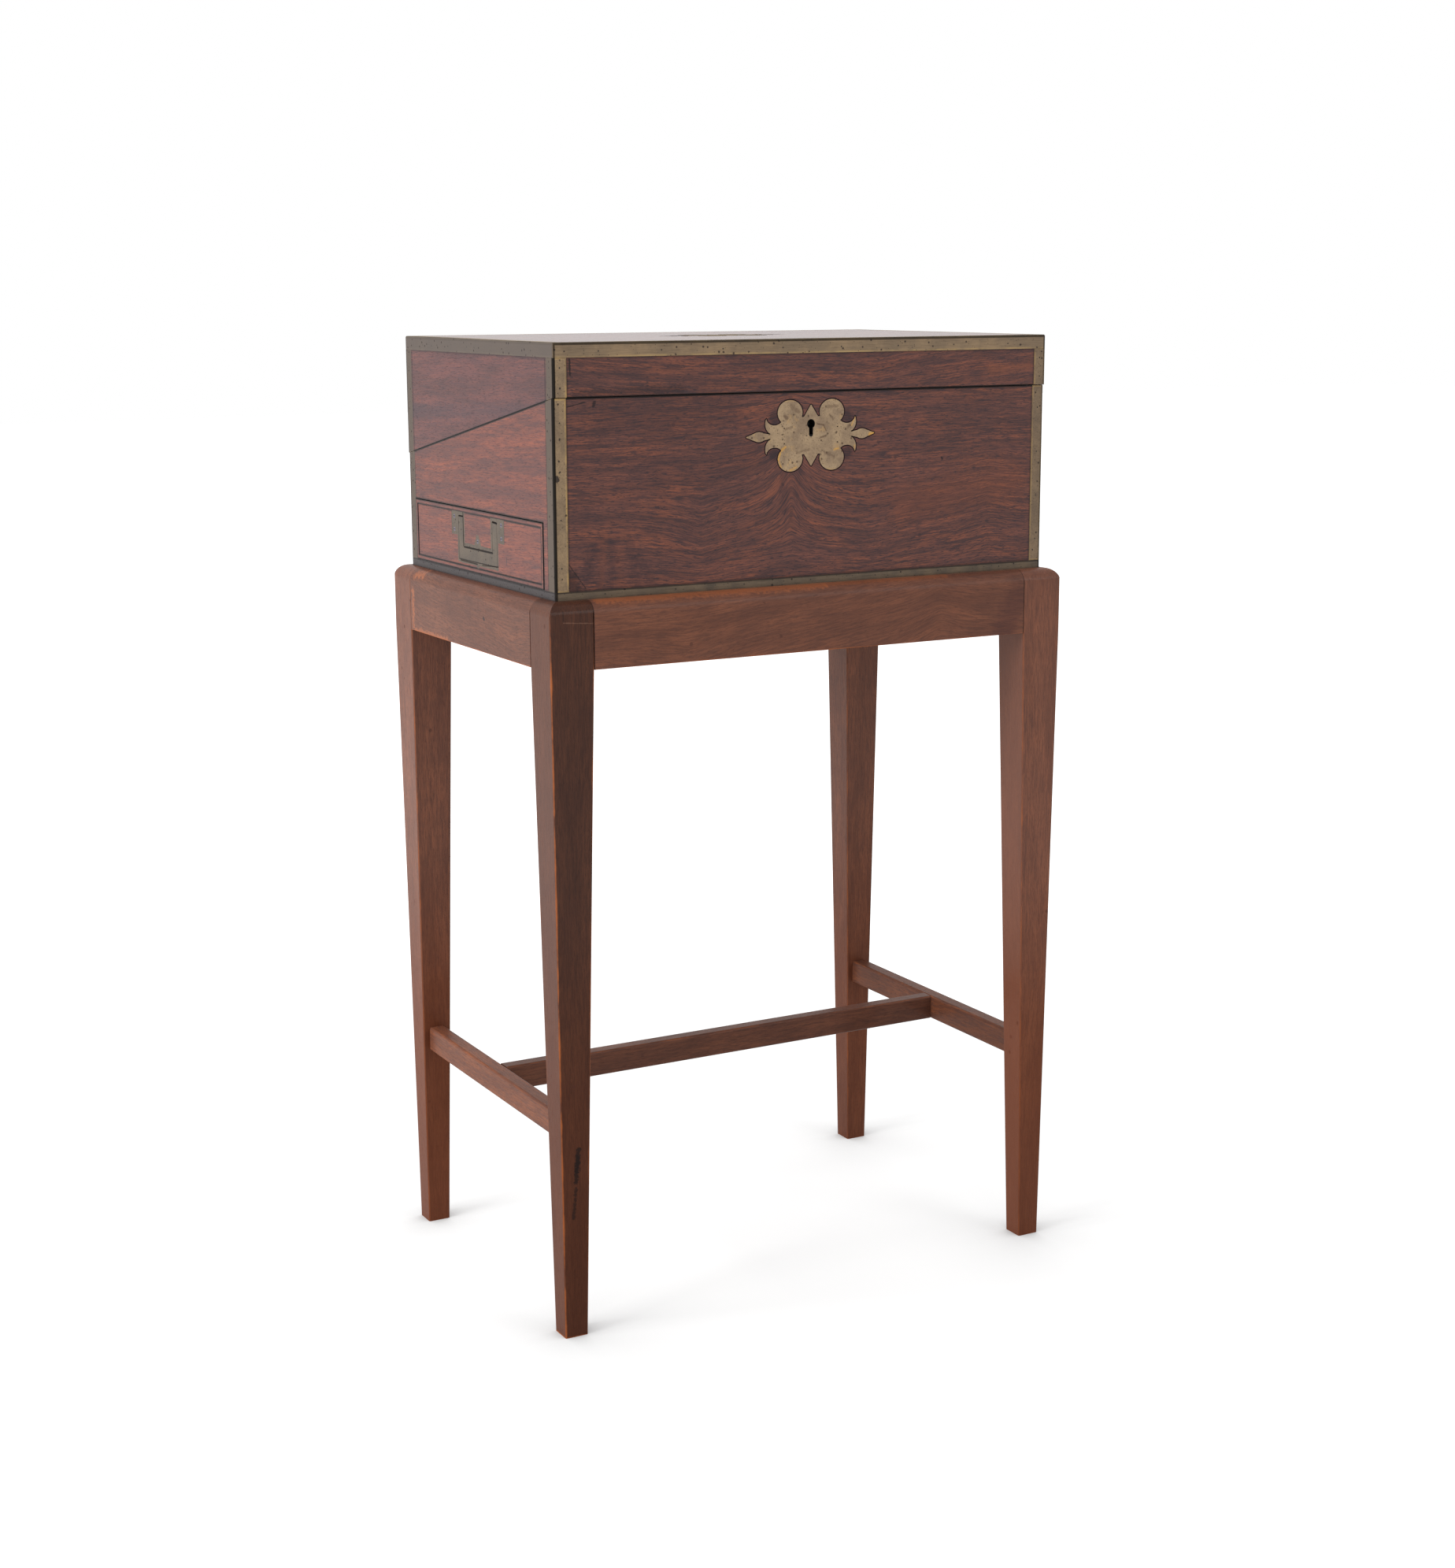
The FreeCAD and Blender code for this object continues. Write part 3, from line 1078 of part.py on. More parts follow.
# --------------------------------------------------------------------------------------- writing out
doc.recompute()
faults = [item.Label for item in doc.Objects if {"Invalid", "Error"} & set(item.State)]
faults += [piece.Label for piece in nodes if piece.Shape.isNull() or not piece.Shape.isValid()]
if faults:
    raise RuntimeError("failed: " + ", ".join(faults))
os.makedirs("parts", exist_ok=True)
for piece in nodes:
    piece.Shape.exportStep(f"parts/{piece.Label}.step")
print(len(nodes), "nodes written")
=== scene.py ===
"""Finishes, small trim and studio for a brass-bound writing box with an end drawer on its own stand.

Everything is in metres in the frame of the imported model: +X runs along the front, +Y from the front to
the hinge side and +Z up, with the origin on the floor under the middle of the stand.
"""

from __future__ import annotations

import json
import logging
import math
from dataclasses import dataclass, field, replace
from enum import Enum
from typing import ClassVar, Sequence, Union

import bpy
import numpy as np
from mathutils import Matrix, Vector

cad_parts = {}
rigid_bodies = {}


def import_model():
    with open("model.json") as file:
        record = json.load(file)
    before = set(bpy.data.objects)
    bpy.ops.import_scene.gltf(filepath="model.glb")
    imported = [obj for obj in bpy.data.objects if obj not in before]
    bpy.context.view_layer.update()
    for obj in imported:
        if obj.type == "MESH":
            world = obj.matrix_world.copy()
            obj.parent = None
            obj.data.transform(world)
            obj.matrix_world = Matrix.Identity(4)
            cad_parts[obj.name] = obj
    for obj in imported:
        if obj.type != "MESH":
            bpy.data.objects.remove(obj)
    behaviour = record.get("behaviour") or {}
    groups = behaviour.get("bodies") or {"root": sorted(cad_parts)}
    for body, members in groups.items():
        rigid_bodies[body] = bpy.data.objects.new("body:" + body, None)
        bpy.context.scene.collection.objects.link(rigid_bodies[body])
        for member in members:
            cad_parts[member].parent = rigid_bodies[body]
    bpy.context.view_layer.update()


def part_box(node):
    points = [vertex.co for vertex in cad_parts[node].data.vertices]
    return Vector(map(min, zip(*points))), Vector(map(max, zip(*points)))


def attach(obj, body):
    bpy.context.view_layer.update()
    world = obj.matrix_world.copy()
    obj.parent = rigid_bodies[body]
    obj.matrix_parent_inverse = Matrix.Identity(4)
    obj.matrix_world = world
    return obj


# FAR lies well outside the object and stands in where a block has no end along an axis.
LOG = logging.getLogger("writing_box")
MM = 0.001
FAR = 9.0
FLOAT, VECTOR = "NodeSocketFloat", "NodeSocketVector"
ORIGIN, UNIT = (0.0, 0.0, 0.0), (1.0, 1.0, 1.0)

Triple = tuple[float, float, float]
Tone = tuple[float, float, float, float]
Socket = bpy.types.NodeSocket
Feed = Union[float, Triple, Tone, Socket]
Inputs = dict[str, Socket]
Feeds = dict[str, Feed]


def paint(red: int, green: int, blue: int) -> Tone:
    """Turn a display colour into the linear colour that shaders use.

    Args:
        red: Red from 0 to 255.
        green: Green from 0 to 255.
        blue: Blue from 0 to 255.

    Returns:
        Linear red, green and blue, and an alpha of 1.
    """
    parts = np.array((red, green, blue)) / 255.0
    linear = np.where(parts <= 0.04045, parts / 12.92, ((parts + 0.055) / 1.055) ** 2.4)
    return (float(linear[0]), float(linear[1]), float(linear[2]), 1.0)


# ------------------------------------------------------------------------------------ node building
class Graph:
    """Builder over one node tree, whose methods make a node and hand back its output."""

    def __init__(self, tree: bpy.types.NodeTree) -> None:
        """Keep the tree that nodes are made in."""
        self.tree = tree

    def feed(self, socket: Socket, value: Feed) -> None:
        """Link another node's output to a socket, or set the socket's own value."""
        if isinstance(value, Socket):
            self.tree.links.new(value, socket)
        else:
            socket.default_value = value

    def fill(self, node: bpy.types.Node, feeds: dict[Union[str, int], Feed]) -> None:
        """Feed several inputs of a node, by name or number."""
        for key, value in feeds.items():
            self.feed(node.inputs[key], value)

    def node(self, kind: str, feeds: dict[Union[str, int], Feed] | None = None,
             **settings: object) -> bpy.types.Node:
        """Make a node.

        Args:
            kind: Blender's type name of the node.
            feeds: Values or outputs for its inputs, by name or number.
            **settings: Properties of the node.

        Returns:
            The new node.
        """
        made = self.tree.nodes.new(kind)
        for name, setting in settings.items():
            setattr(made, name, setting)
        self.fill(made, feeds or {})
        return made

    def math(self, operation: str, *values: Feed, clamp: bool = False) -> Socket:
        """Number worked out from one to three numbers."""
        feeds = dict(enumerate(values))
        return self.node("ShaderNodeMath", feeds, operation=operation, use_clamp=clamp).outputs[0]

    def times(self, first: Feed, second: Feed) -> Socket:
        """Product of two numbers."""
        return self.math("MULTIPLY", first, second)

    def vector(self, operation: str, *values: Feed) -> Socket:
        """Vector worked out from one to three vectors."""
        feeds = dict(enumerate(values))
        return self.node("ShaderNodeVectorMath", feeds, operation=operation).outputs[0]

    def length(self, vector: Feed) -> Socket:
        """Length of a vector."""
        return self.node("ShaderNodeVectorMath", {0: vector}, operation="LENGTH").outputs["Value"]

    def dot(self, first: Feed, second: Feed) -> Socket:
        """Dot product of two vectors."""
        made = self.node("ShaderNodeVectorMath", {0: first, 1: second}, operation="DOT_PRODUCT")
        return made.outputs["Value"]

    def parts(self, vector: Feed) -> tuple[Socket, ...]:
        """The three numbers of a vector."""
        return tuple(self.node("ShaderNodeSeparateXYZ", {0: vector}).outputs)

    def joined(self, x: Feed, y: Feed, z: Feed) -> Socket:
        """The vector of three numbers."""
        return self.node("ShaderNodeCombineXYZ", {0: x, 1: y, 2: z}).outputs[0]

    def tint(self, share: Feed, low: Feed, high: Feed) -> Socket:
        """Colour, share of the way from low to high."""
        return self.node("ShaderNodeMix", {0: share, 6: low, 7: high}, data_type="RGBA").outputs[2]

    def cover(self, colour: Feed, tone: Feed, mask: Feed, strength: Feed) -> Socket:
        """Colour laid over with a tone where a mask is, as strongly as strength says."""
        return self.tint(self.times(mask, strength), colour, tone)

    def between(self, share: Feed, low: Feed, high: Feed) -> Socket:
        """Number, share of the way from low to high."""
        return self.node("ShaderNodeMix", {0: share, 2: low, 3: high}, data_type="FLOAT").outputs[0]

    def step(self, value: Feed, low: Feed, high: Feed) -> Socket:
        """Smooth step: 0 up to low, 1 from high on, or the other way round where high is below low."""
        feeds = {"Value": value, "From Min": low, "From Max": high}
        return self.node("ShaderNodeMapRange", feeds, interpolation_type="SMOOTHSTEP").outputs[0]

    def noise(self, place: Feed, scale: float, detail: float = 2.0, roughness: float = 0.5,
              distortion: float = 0.0) -> Socket:
        """Soft noise from 0 to 1 about 0.5."""
        feeds = {"Vector": place, "Scale": scale, "Detail": detail, "Roughness": roughness,
                 "Distortion": distortion}
        return self.node("ShaderNodeTexNoise", feeds).outputs["Fac"]

    def relief(self, shader: bpy.types.Node, height: Feed, strength: float, depth: float) -> None:
        """Feed a shader's normal with a bump of one height."""
        bump = self.node("ShaderNodeBump", {"Height": height, "Strength": strength, "Distance": depth})
        self.feed(shader.inputs["Normal"], bump.outputs[0])


class Effect:
    """A shader effect that several materials share, kept as one node group with named sockets."""

    title: ClassVar[str]
    takes: ClassVar[Feeds]
    gives: ClassVar[dict[str, str]]
    made: ClassVar[dict[str, bpy.types.NodeTree]] = {}

    def build(self, graph: Graph, given: Inputs) -> Feeds:
        """Make the group's nodes.

        Args:
            graph: Builder over the group's tree.
            given: The group's inputs by name.

        Returns:
            What each named output gives.
        """
        raise NotImplementedError

    def group(self) -> bpy.types.NodeTree:
        """Make the effect's node group the first time that it is asked for.

        Returns:
            The group, shared by every material.
        """
        if self.title in Effect.made:
            return Effect.made[self.title]
        tree = bpy.data.node_groups.new(self.title, "ShaderNodeTree")
        for name, value in self.takes.items():
            kind = VECTOR if isinstance(value, tuple) else FLOAT
            tree.interface.new_socket(name, in_out="INPUT", socket_type=kind).default_value = value
        for name, kind in self.gives.items():
            tree.interface.new_socket(name, in_out="OUTPUT", socket_type=kind)
        graph = Graph(tree)
        way_in = graph.node("NodeGroupInput")
        given = {name: way_in.outputs[name] for name in self.takes}
        graph.node("NodeGroupOutput", dict(self.build(graph, given)))
        Effect.made[self.title] = tree
        return tree

    def put(self, graph: Graph, feeds: Feeds) -> Inputs:
        """Place the effect in a material.

        Args:
            graph: Builder over the material's tree.
            feeds: Values or outputs for the group's inputs by name.

        Returns:
            The group's outputs by name.
        """
        made = graph.node("ShaderNodeGroup", feeds, node_tree=self.group())
        return {name: made.outputs[name] for name in self.gives}


class GrainBend(Effect):
    """Pushes the grain up or down about one point, as round a knot or under a cathedral figure.

    Shift is Rise times exp(-|along - peak| / Spread) times exp(-((across - peak) / Reach) squared).
    Glow is the same product with a narrow bell along the grain, for the bright streak at the peak.
    """

    title = "Grain bend"
    takes = {"Along": 0.0, "Across": 0.0, "Peak Along": 0.0, "Peak Across": 0.0, "Rise": 0.02,
             "Spread": 0.03, "Reach": 0.05}
    gives = {"Shift": FLOAT, "Glow": FLOAT}
    softness: ClassVar[float] = 4 * MM

    def build(self, graph: Graph, given: Inputs) -> Feeds:
        """Make the two bells and their products."""
        run = graph.math("SUBTRACT", given["Along"], given["Peak Along"])
        squared = graph.math("MULTIPLY_ADD", run, run, self.softness ** 2)
        away = graph.math("DIVIDE", graph.math("SQRT", squared), given["Spread"])
        fall = graph.math("EXPONENT", graph.times(away, -1.0))
        climb = graph.math("DIVIDE", graph.math("SUBTRACT", given["Across"], given["Peak Across"]),
                           given["Reach"])
        bell = graph.math("EXPONENT", graph.times(graph.times(climb, climb), -1.0))
        narrow = graph.math("EXPONENT", graph.times(graph.times(away, away), -6.0))
        both = graph.times(fall, bell)
        return {"Shift": graph.times(both, given["Rise"]),
                "Glow": graph.times(narrow, bell)}


class Timber(Effect):
    """The figure of a plank: dark bands, growth lines, short open pores, slow tone, ripple and veins.

    Place runs along the grain in x, across the shown face in y and into the plank in z, in metres.
    Each output is noise stretched along the grain and squeezed across it, and the veins are thin
    contour lines of such a noise, where its distance from 0.5 is small. Ripple runs across the grain.
    """

    title = "Timber"
    takes = {"Place": ORIGIN, "Shift": 0.0, "Seed": 0.0, "Wave": 0.012, "Band Width": 0.02,
             "Line Width": 0.0025, "Pore Width": 0.0007, "Pore Length": 0.012}
    gives = dict.fromkeys(("Bands", "Lines", "Pores", "Tone", "Ripple", "Veins"), FLOAT)

    def build(self, graph: Graph, given: Inputs) -> Feeds:
        """Make the bent place, then one stretched noise for each output."""
        along, across, depth = graph.parts(given["Place"])
        seed = given["Seed"]
        slow = graph.joined(graph.math("MULTIPLY_ADD", along, 3.2, seed), graph.times(across, 9.0),
                            graph.math("MULTIPLY_ADD", depth, 9.0, seed))
        wave = graph.math("SUBTRACT", graph.noise(slow, 1.0, 2.0), 0.5)
        shifted = graph.math("ADD", across, given["Shift"])
        fine = graph.joined(graph.math("MULTIPLY_ADD", along, 150.0, seed),
                            graph.times(shifted, 420.0), graph.times(depth, 420.0))
        wobble = graph.math("SUBTRACT", graph.noise(fine, 1.0, 2.0), 0.5)
        bent = graph.math("MULTIPLY_ADD", wobble, 1.8 * MM,
                          graph.math("MULTIPLY_ADD", wave, given["Wave"], shifted))

        def stretched(length: Feed, width: Feed, shift: float) -> Socket:
            """Place measured in lengths along the grain and widths across it."""
            return graph.joined(
                graph.math("ADD", graph.math("DIVIDE", along, length), graph.math("ADD", seed, shift)),
                graph.math("DIVIDE", bent, width), graph.math("DIVIDE", depth, width))

        bands = graph.noise(stretched(0.11, given["Band Width"], 0.0), 1.0, 4.0, 0.65, 0.35)
        lines = graph.noise(stretched(0.022, given["Line Width"], 7.3), 1.0, 4.0, 0.7, 0.3)
        dashes = graph.noise(stretched(given["Pore Length"], given["Pore Width"], 3.1), 1.0, 1.0, 0.5)
        tone = graph.noise(stretched(0.075, 0.02, 11.9), 1.0, 3.0, 0.6, 0.3)
        contours = graph.noise(stretched(0.13, graph.times(given["Band Width"], 0.9), 17.7),
                               1.0, 2.0, 0.5, 0.2)
        off = graph.math("ABSOLUTE", graph.math("SUBTRACT", contours, 0.5))
        veins = graph.times(graph.step(off, 0.035, 0.01), graph.step(tone, 0.38, 0.55))
        turned = graph.joined(graph.math("DIVIDE", along, 0.014), graph.math("DIVIDE", bent, 0.07),
                              graph.math("ADD", seed, 2.2))
        ripple = graph.noise(turned, 1.0, 2.0, 0.5)
        return {"Bands": graph.step(bands, 0.36, 0.64), "Lines": graph.step(lines, 0.37, 0.63),
                "Pores": graph.step(dashes, 0.55, 0.68), "Tone": graph.step(tone, 0.3, 0.7),
                "Ripple": graph.step(ripple, 0.3, 0.7), "Veins": veins}


class EdgeReach(Effect):
    """How far a point is from the faces and edges of a straight or tapering block.

    The block's corners run evenly from a lower pair at Level Low to an upper pair at Level High.
    Nearest is the distance to the closest face, and Edge to the closest edge: the smallest and the
    middle one of the three distances along x, y and z, which Ends gives as they are.
    """

    title = "Edge reach"
    takes = {"Place": ORIGIN, "Low Foot": ORIGIN, "High Foot": UNIT,
             "Low Head": ORIGIN, "High Head": UNIT, "Level Low": 0.0,
             "Level High": 1.0}
    gives = {"Nearest": FLOAT, "Edge": FLOAT, "Ends": VECTOR}

    def build(self, graph: Graph, given: Inputs) -> Feeds:
        """Make the block at the point's level and sort its three distances."""
        height = graph.parts(given["Place"])[2]
        feeds = {"Value": height, "From Min": given["Level Low"], "From Max": given["Level High"]}
        share = graph.node("ShaderNodeMapRange", feeds).outputs[0]
        sides = []
        for side in ("Low", "High"):
            ends = {0: share, 4: given[f"{side} Foot"], 5: given[f"{side} Head"]}
            sides.append(graph.node("ShaderNodeMix", ends, data_type="VECTOR").outputs[1])
        inside = graph.vector("MINIMUM", graph.vector("SUBTRACT", given["Place"], sides[0]),
                              graph.vector("SUBTRACT", sides[1], given["Place"]))
        away = graph.vector("ABSOLUTE", inside)
        x, y, z = graph.parts(away)
        low, high = graph.math("MINIMUM", x, y), graph.math("MAXIMUM", x, y)
        return {"Nearest": graph.math("MINIMUM", low, z),
                "Edge": graph.math("MAXIMUM", low, graph.math("MINIMUM", high, z)), "Ends": away}


class BoxReach(Effect):
    """Distance to the skin of a straight box, from inside or outside.

    With q the larger of Low - p and p - High along each axis, the distance is the length of q where
    it is above 0, plus the largest part of q where all are below 0, with its sign dropped.
    """

    title = "Box reach"
    takes = {"Place": ORIGIN, "Low": ORIGIN, "High": UNIT}
    gives = {"Distance": FLOAT}

    def build(self, graph: Graph, given: Inputs) -> Feeds:
        """Make the outer and the inner distance."""
        past = graph.vector("MAXIMUM", graph.vector("SUBTRACT", given["Low"], given["Place"]),
                            graph.vector("SUBTRACT", given["Place"], given["High"]))
        outer = graph.length(graph.vector("MAXIMUM", past, ORIGIN))
        x, y, z = graph.parts(past)
        inner = graph.math("MINIMUM", graph.math("MAXIMUM", graph.math("MAXIMUM", x, y), z), 0.0)
        return {"Distance": graph.math("ABSOLUTE", graph.math("ADD", outer, inner))}


class SeamReach(Effect):
    """Distance to the sloping plane z = Level - Slope * y that parts the lid from the body."""

    title = "Seam reach"
    takes = {"Place": ORIGIN, "Level": 0.8, "Slope": 0.2}
    gives = {"Distance": FLOAT}

    def build(self, graph: Graph, given: Inputs) -> Feeds:
        """Make the distance straight up or down to the plane."""
        _, depth, height = graph.parts(given["Place"])
        raised = graph.math("MULTIPLY_ADD", depth, given["Slope"], height)
        return {"Distance": graph.math("ABSOLUTE", graph.math("SUBTRACT", raised, given["Level"]))}


class Specks(Effect):
    """Small dark marks scattered over a surface, with a soft cloud that says where they gather."""

    title = "Specks"
    takes = {"Place": ORIGIN, "Seed": 0.0, "Size": 0.006, "Amount": 0.2}
    gives = {"Marks": FLOAT, "Clouds": FLOAT}

    def build(self, graph: Graph, given: Inputs) -> Feeds:
        """Make the scattered cells and the cloud."""
        shifted = graph.vector("ADD", given["Place"], graph.joined(given["Seed"], given["Seed"], 0.0))
        size = given["Size"]
        scaled = graph.vector("DIVIDE", shifted, graph.joined(size, size, size))
        ragged = graph.noise(scaled, 1.6, 3.0, 0.65)
        cells = graph.node("ShaderNodeTexVoronoi", {"Vector": scaled, "Scale": 1.0, "Randomness": 1.0})
        picked = graph.math("LESS_THAN", graph.parts(cells.outputs["Color"])[0], given["Amount"])
        edge = graph.math("MULTIPLY_ADD", ragged, 0.34, cells.outputs["Distance"])
        marks = graph.times(graph.step(edge, 0.42, 0.3), picked)
        return {"Marks": marks, "Clouds": graph.noise(scaled, 0.22, 4.0, 0.6)}


class Scar(Effect):
    """A ragged mark along a straight line, such as a crack, a scratch or a round stain.

    With the point p, the ends a and b and their difference d, the nearest point of the line is
    a + d * clamp(dot(p - a, d) / dot(d, d)), and the mark fades out from Width to Width + Softness
    away from it. Flat is 0 along the axis that looks into the face, so that depth doesn't count.
    """

    title = "Scar"
    takes = {"Place": ORIGIN, "Flat": (1.0, 0.0, 1.0), "Start": ORIGIN,
             "Stop": (0.0, 0.0, 0.001), "Width": 0.0005, "Softness": 0.0005, "Ragged": 0.5}
    gives = {"Mask": FLOAT}

    def build(self, graph: Graph, given: Inputs) -> Feeds:
        """Make the distance to the line and fade it."""
        place, start, stop = (graph.vector("MULTIPLY", given[name], given["Flat"])
                              for name in ("Place", "Start", "Stop"))
        run = graph.vector("SUBTRACT", stop, start)
        away = graph.vector("SUBTRACT", place, start)
        share = graph.math("DIVIDE", graph.dot(away, run), graph.dot(run, run), clamp=True)
        nearest = graph.vector("SUBTRACT", away,
                               graph.vector("MULTIPLY", run, graph.joined(share, share, share)))
        length = graph.length(nearest)
        rough = graph.math("SUBTRACT", graph.noise(given["Place"], 330.0, 3.0, 0.6), 0.5)
        reach = graph.math("ADD", given["Width"], given["Softness"])
        offset = graph.times(graph.times(rough, given["Ragged"]), reach)
        length = graph.math("MULTIPLY_ADD", offset, 2.0, length)
        return {"Mask": graph.step(length, reach, given["Width"])}


# ------------------------------------------------------------------------------------ finishes
class Grain(Enum):
    """Which axis a plank's grain runs along, with the axes across its shown face and into it."""

    ALONG_X = (0, 2, 1)
    ALONG_Y = (1, 2, 0)
    ALONG_Z = (2, 0, 1)
    FLAT_X = (0, 1, 2)


@dataclass(frozen=True)
class Bend:
    """One place where the grain bends: its peak along and across the grain, and its form."""

    along: float
    across: float
    rise: float
    spread: float
    reach: float
    glow: float = 0.0


@dataclass(frozen=True)
class Block:
    """A straight or tapering block that edge effects are measured from."""

    low: Triple
    high: Triple
    low_head: Triple | None = None
    high_head: Triple | None = None

    @classmethod
    def of_node(cls, name: str) -> Block:
        """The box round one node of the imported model."""
        low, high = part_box(name)
        return cls(tuple(low), tuple(high))

    def feeds(self, place: Feed) -> Feeds:
        """Inputs for the edge effect."""
        return {"Place": place, "Low Foot": self.low, "High Foot": self.high,
                "Low Head": self.low_head or self.low, "High Head": self.high_head or self.high,
                "Level Low": self.low[2], "Level High": self.high[2]}


@dataclass(frozen=True)
class Rim:
    """A dark line along a block's faces, where a board meets brass, and painted shadow in the drawer's
    gaps.
    """

    block: Block
    width: float = 2.2 * MM
    strength: float = 0.55


@dataclass(frozen=True)
class Mark:
    """One scar of age: its two ends on the face, its width and how it shows."""

    start: Triple
    stop: Triple
    width: float
    softness: float
    strength: float
    colour: Feed
    ragged: float = 0.5

    def feeds(self, place: Feed, flat: Triple) -> Feeds:
        """Inputs for the scar effect."""
        return {"Place": place, "Flat": flat, "Start": self.start, "Stop": self.stop,
                "Width": self.width, "Softness": self.softness, "Ragged": self.ragged}


MarkRow = tuple[float, float, float, float, float, float, float, Feed, float]


def marks_on(run: int, *rows: MarkRow) -> tuple[Mark, ...]:
    """Marks on an upright face, from rows of millimetres.

    Args:
        run: The axis that the face runs along, 0 for x and 1 for y.
        *rows: For each mark its start along the face and up, its stop likewise, its width and its
            softness, then how strongly it shows, its colour and how ragged it is.

    Returns:
        The marks in the rows' order.
    """
    def spot(along: float, height: float) -> Triple:
        """A point of the face, in metres."""
        return (along * MM, 0.0, height * MM) if run == 0 else (0.0, along * MM, height * MM)

    return tuple(Mark(spot(*row[0:2]), spot(*row[2:4]), row[4] * MM, row[5] * MM, *row[6:])
                 for row in rows)


@dataclass(frozen=True)
class Plank:
    """How one piece of timber was cut, how it has aged and the block that its wear follows.

    Without a block, wear follows the piece's own box. Seam is the level and slope of the lid's joint,
    where a shadow line is painted, and joint how far a tenon goes into its leg. Faces turned along x are
    pulled a given share to the unshaded ground colour, as painted light and shade.
    """

    grain: Grain
    seed: float
    block: Block | None = None
    rims: tuple[Rim, ...] = ()
    bends: tuple[Bend, ...] = ()
    marks: tuple[Mark, ...] = ()
    tilt: float = 0.0
    tone: float = 0.5
    shade: float = 1.0
    seam: tuple[float, float] | None = None
    joint: float = 0.0
    x_face_shade: float = 0.0
    bare_foot: bool = False

    @property
    def flat(self) -> Triple:
        """1 along the two axes of the shown face and 0 into it."""
        sides = [1.0, 1.0, 1.0]
        sides[self.grain.value[2]] = 0.0
        return (sides[0], sides[1], sides[2])


def dress(name: str, material: bpy.types.Material) -> None:
    """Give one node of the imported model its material.

    Args:
        name: The node's name.
        material: The finished material.
    """
    thing = bpy.data.objects[name]
    if not thing.material_slots:
        thing.data.materials.append(material)
    for slot in thing.material_slots:
        slot.material = material


def shaded(colour: Sequence[float], shade: float) -> Tone:
    """A linear colour made lighter or darker."""
    return (colour[0] * shade, colour[1] * shade, colour[2] * shade, 1.0)


def new_material(name: str) -> tuple[bpy.types.Material, Graph, bpy.types.Node]:
    """Make an empty material with its Principled shader.

    Args:
        name: The material's name.

    Returns:
        The material, a builder over its tree and the shader's node.
    """
    material = bpy.data.materials.new(name)
    material.use_nodes = True
    tree = material.node_tree
    tree.nodes.clear()
    graph = Graph(tree)
    shader = graph.node("ShaderNodeBsdfPrincipled")
    graph.node("ShaderNodeOutputMaterial", {"Surface": shader.outputs[0]})
    return material, graph, shader


